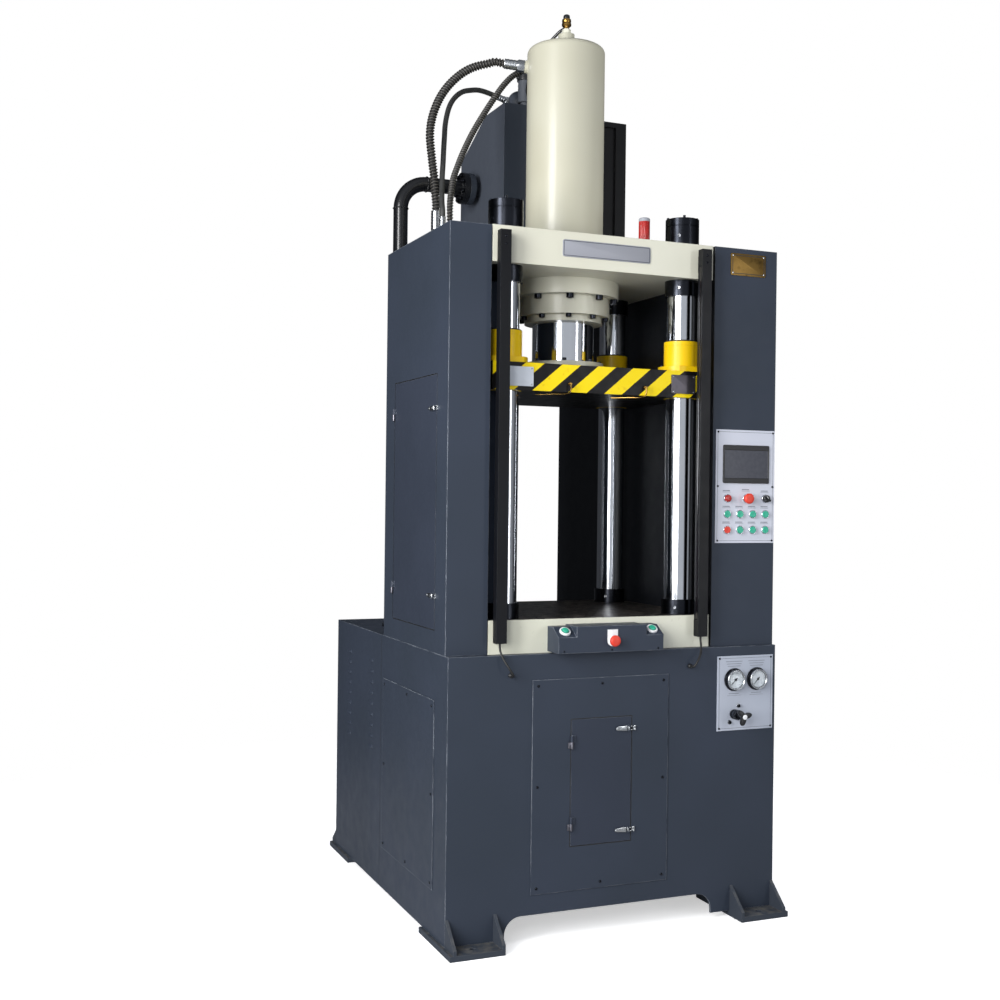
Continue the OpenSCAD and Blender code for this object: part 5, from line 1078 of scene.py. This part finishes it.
def breather():
    """Tank breather: ribbed body, domed cap and a side knob, all turned."""
    c = np.array([TANK_X + 111, 775 + 45, TANK_TOP])
    ribs = [(30 - (1.2 if i % 2 else 0), 24 + i * 8.9) for i in range(11)]
    body = lathe([(19, 0), (19, 22), (29, 22.5)] + ribs + [(29, 113.5)], c, Z, 48)
    dome = rounded([(33, 113), (34, 115), (34, 137), (26, 145), (0.6, 147)], [0, 1, 5, 6, 0], 5)
    grip = rounded([(6, 0), (8.5, 5), (8.5, 11), (0.6, 14)], [0, 2, 3, 0], 4)
    return body, lathe(dome, c, Z, 48), lathe(grip, c + (-28, -4, 125), (-1, -0.15, 0), 24)


body, cap, knob = breather()
build("breather_body", [body], "cast", "frame", ["breather"])
build("breather_cap", [cap, knob], "black_plastic", "frame", ["breather"])


def beacon():
    """Lamp on the crown: foot, lens ribbed by r(u) = 20.6 + 0.5 cos 30u, and a domed top."""
    c = np.array([AXIS[0] + 192, 100, CROWN_TOP])
    rib = 20.6 + 0.5 * np.cos(30 * np.linspace(0, TAU, 180, endpoint=False))
    foot = lathe(rounded([(21.4, 0), (21.4, 9), (19, 10)], [0, 1, 0], 3), c, Z, 48)
    lens = lathe([(20, 9), (rib, 11), (rib, 80), (20, 82)], c, Z, 180)
    top = lathe(rounded([(21.4, 81), (21.4, 91), (17, 94.8), (0.6, 95)], [0, 2, 4, 0], 4), c, Z, 48)
    return foot, lens, top


foot, lens, top = beacon()
build("beacon_lens", [lens], "lamp", "frame", ["signal_lamps"])
build("beacon_foot", [foot], "red", "frame", ["signal_lamps"])
build("beacon_top", [top], "plate", "frame", ["signal_lamps"])


# Stage and light

def area_light(name, place, target, size, power, mirrored=True):
    """Soft box of size m at place that looks at target; mirrored says whether shiny pieces show it."""
    data = bpy.data.lights.new(name, "AREA")
    data.shape, data.size, data.size_y, data.energy = "RECTANGLE", size[0], size[1], power
    lamp = bpy.data.objects.new(name, data)
    ahead = unit(np.subtract(target, place))
    right = unit(np.cross(ahead, Z))
    turn = Matrix(np.stack([right, np.cross(right, ahead), -ahead], 1).tolist()).to_4x4()
    lamp.matrix_world = Matrix.Translation(place) @ turn
    lamp.visible_glossy = mirrored
    bpy.context.scene.collection.objects.link(lamp)


def set_stage():
    """A pale round of floor that fades out, a room light in front and dark behind, and five soft boxes."""
    mat, tree, coord = begin("pale_floor")
    seen = add(tree, "LightPath", out="Is Camera Ray")
    pale = layers(tree, "#FFFFFF", [(mottle(tree, coord, 900, 2, 0, 1), "#FBFBFB")])
    reach = add(tree, "VectorMath", {0: coord}, "Value", operation="LENGTH")
    finish(mat, {"Base Color": layers(tree, "#A8A8A8", [(seen, pale)]), "Roughness": 0.9,
                 "Emission Color": linear("#FFFFFF"),
                 "Emission Strength": add(tree, "MapRange", {0: seen, 3: 0.06, 4: 0.5}, 0),
                 "Alpha": add(tree, "MapRange", {0: reach, 1: 1.7, 2: 3.3, 3: 1.0, 4: 0.0}, 0)})
    half, under = 3.5, -0.001
    mesh = bpy.data.meshes.new("floor")
    corners = [(-half, -half, under), (half, -half, under), (half, half, under), (-half, half, under)]
    mesh.from_pydata(corners, [], [[0, 1, 2, 3]])
    mesh.materials.append(mat)
    floor = bpy.data.objects.new("floor", mesh)
    bpy.context.scene.collection.objects.link(floor)
    world = bpy.data.worlds.new("studio")
    bpy.context.scene.world = world
    world.use_nodes = True
    tree = world.node_tree
    tree.nodes.clear()
    rays = add(tree, "LightPath").outputs
    shiny = {0: rays["Is Glossy Ray"], 1: rays["Is Transmission Ray"]}
    mirrored = add(tree, "Math", shiny, 0, operation="MAXIMUM")
    way = add(tree, "TexCoord", out="Generated")

    def studio(ahead, low, high, dark, bright):
        """Light that goes from dark to bright as the direction turns ahead."""
        dot = add(tree, "VectorMath", {0: way, 1: ahead}, "Value", operation="DOT_PRODUCT")
        return layers(tree, dark, [(add(tree, "MapRange", {0: dot, 1: low, 2: high}, 0), bright)])

    room = studio((-0.6, -0.7, 0.35), -0.5, 0.8, "#2A2B2E", "#9DA1A9")
    shown = studio((-0.25, -0.95, 0.15), -0.1, 0.95, "#3C3E42", "#C4C8CE")
    colour = layers(tree, room, [(mirrored, shown), (rays["Is Camera Ray"], "#FFFFFF")])
    back = add(tree, "Background", {"Color": colour, "Strength": 1.0}, 0)
    add(tree, "OutputWorld", {"Surface": back})
    area_light("key", (-4.2, -2.5, 2.6), (0, -0.1, 1.8), (1.5, 3.4), 245)
    area_light("front", (-3.6, -4.6, 2.2), (0, -0.4, 1.5), (1.6, 2.6), 98)
    area_light("strip", (2.4, -4.8, 2.0), (0, -0.4, 1.8), (0.45, 3.0), 32)
    area_light("fill", (4.4, -0.8, 2.8), (0, -0.2, 2.0), (1.5, 3.0), 140, False)
    area_light("rear", (1.6, 4.8, 2.6), (-0.1, 0.3, 1.6), (1.6, 3.0), 110, False)


set_stage()
bpy.context.scene.view_settings.view_transform = "Standard"
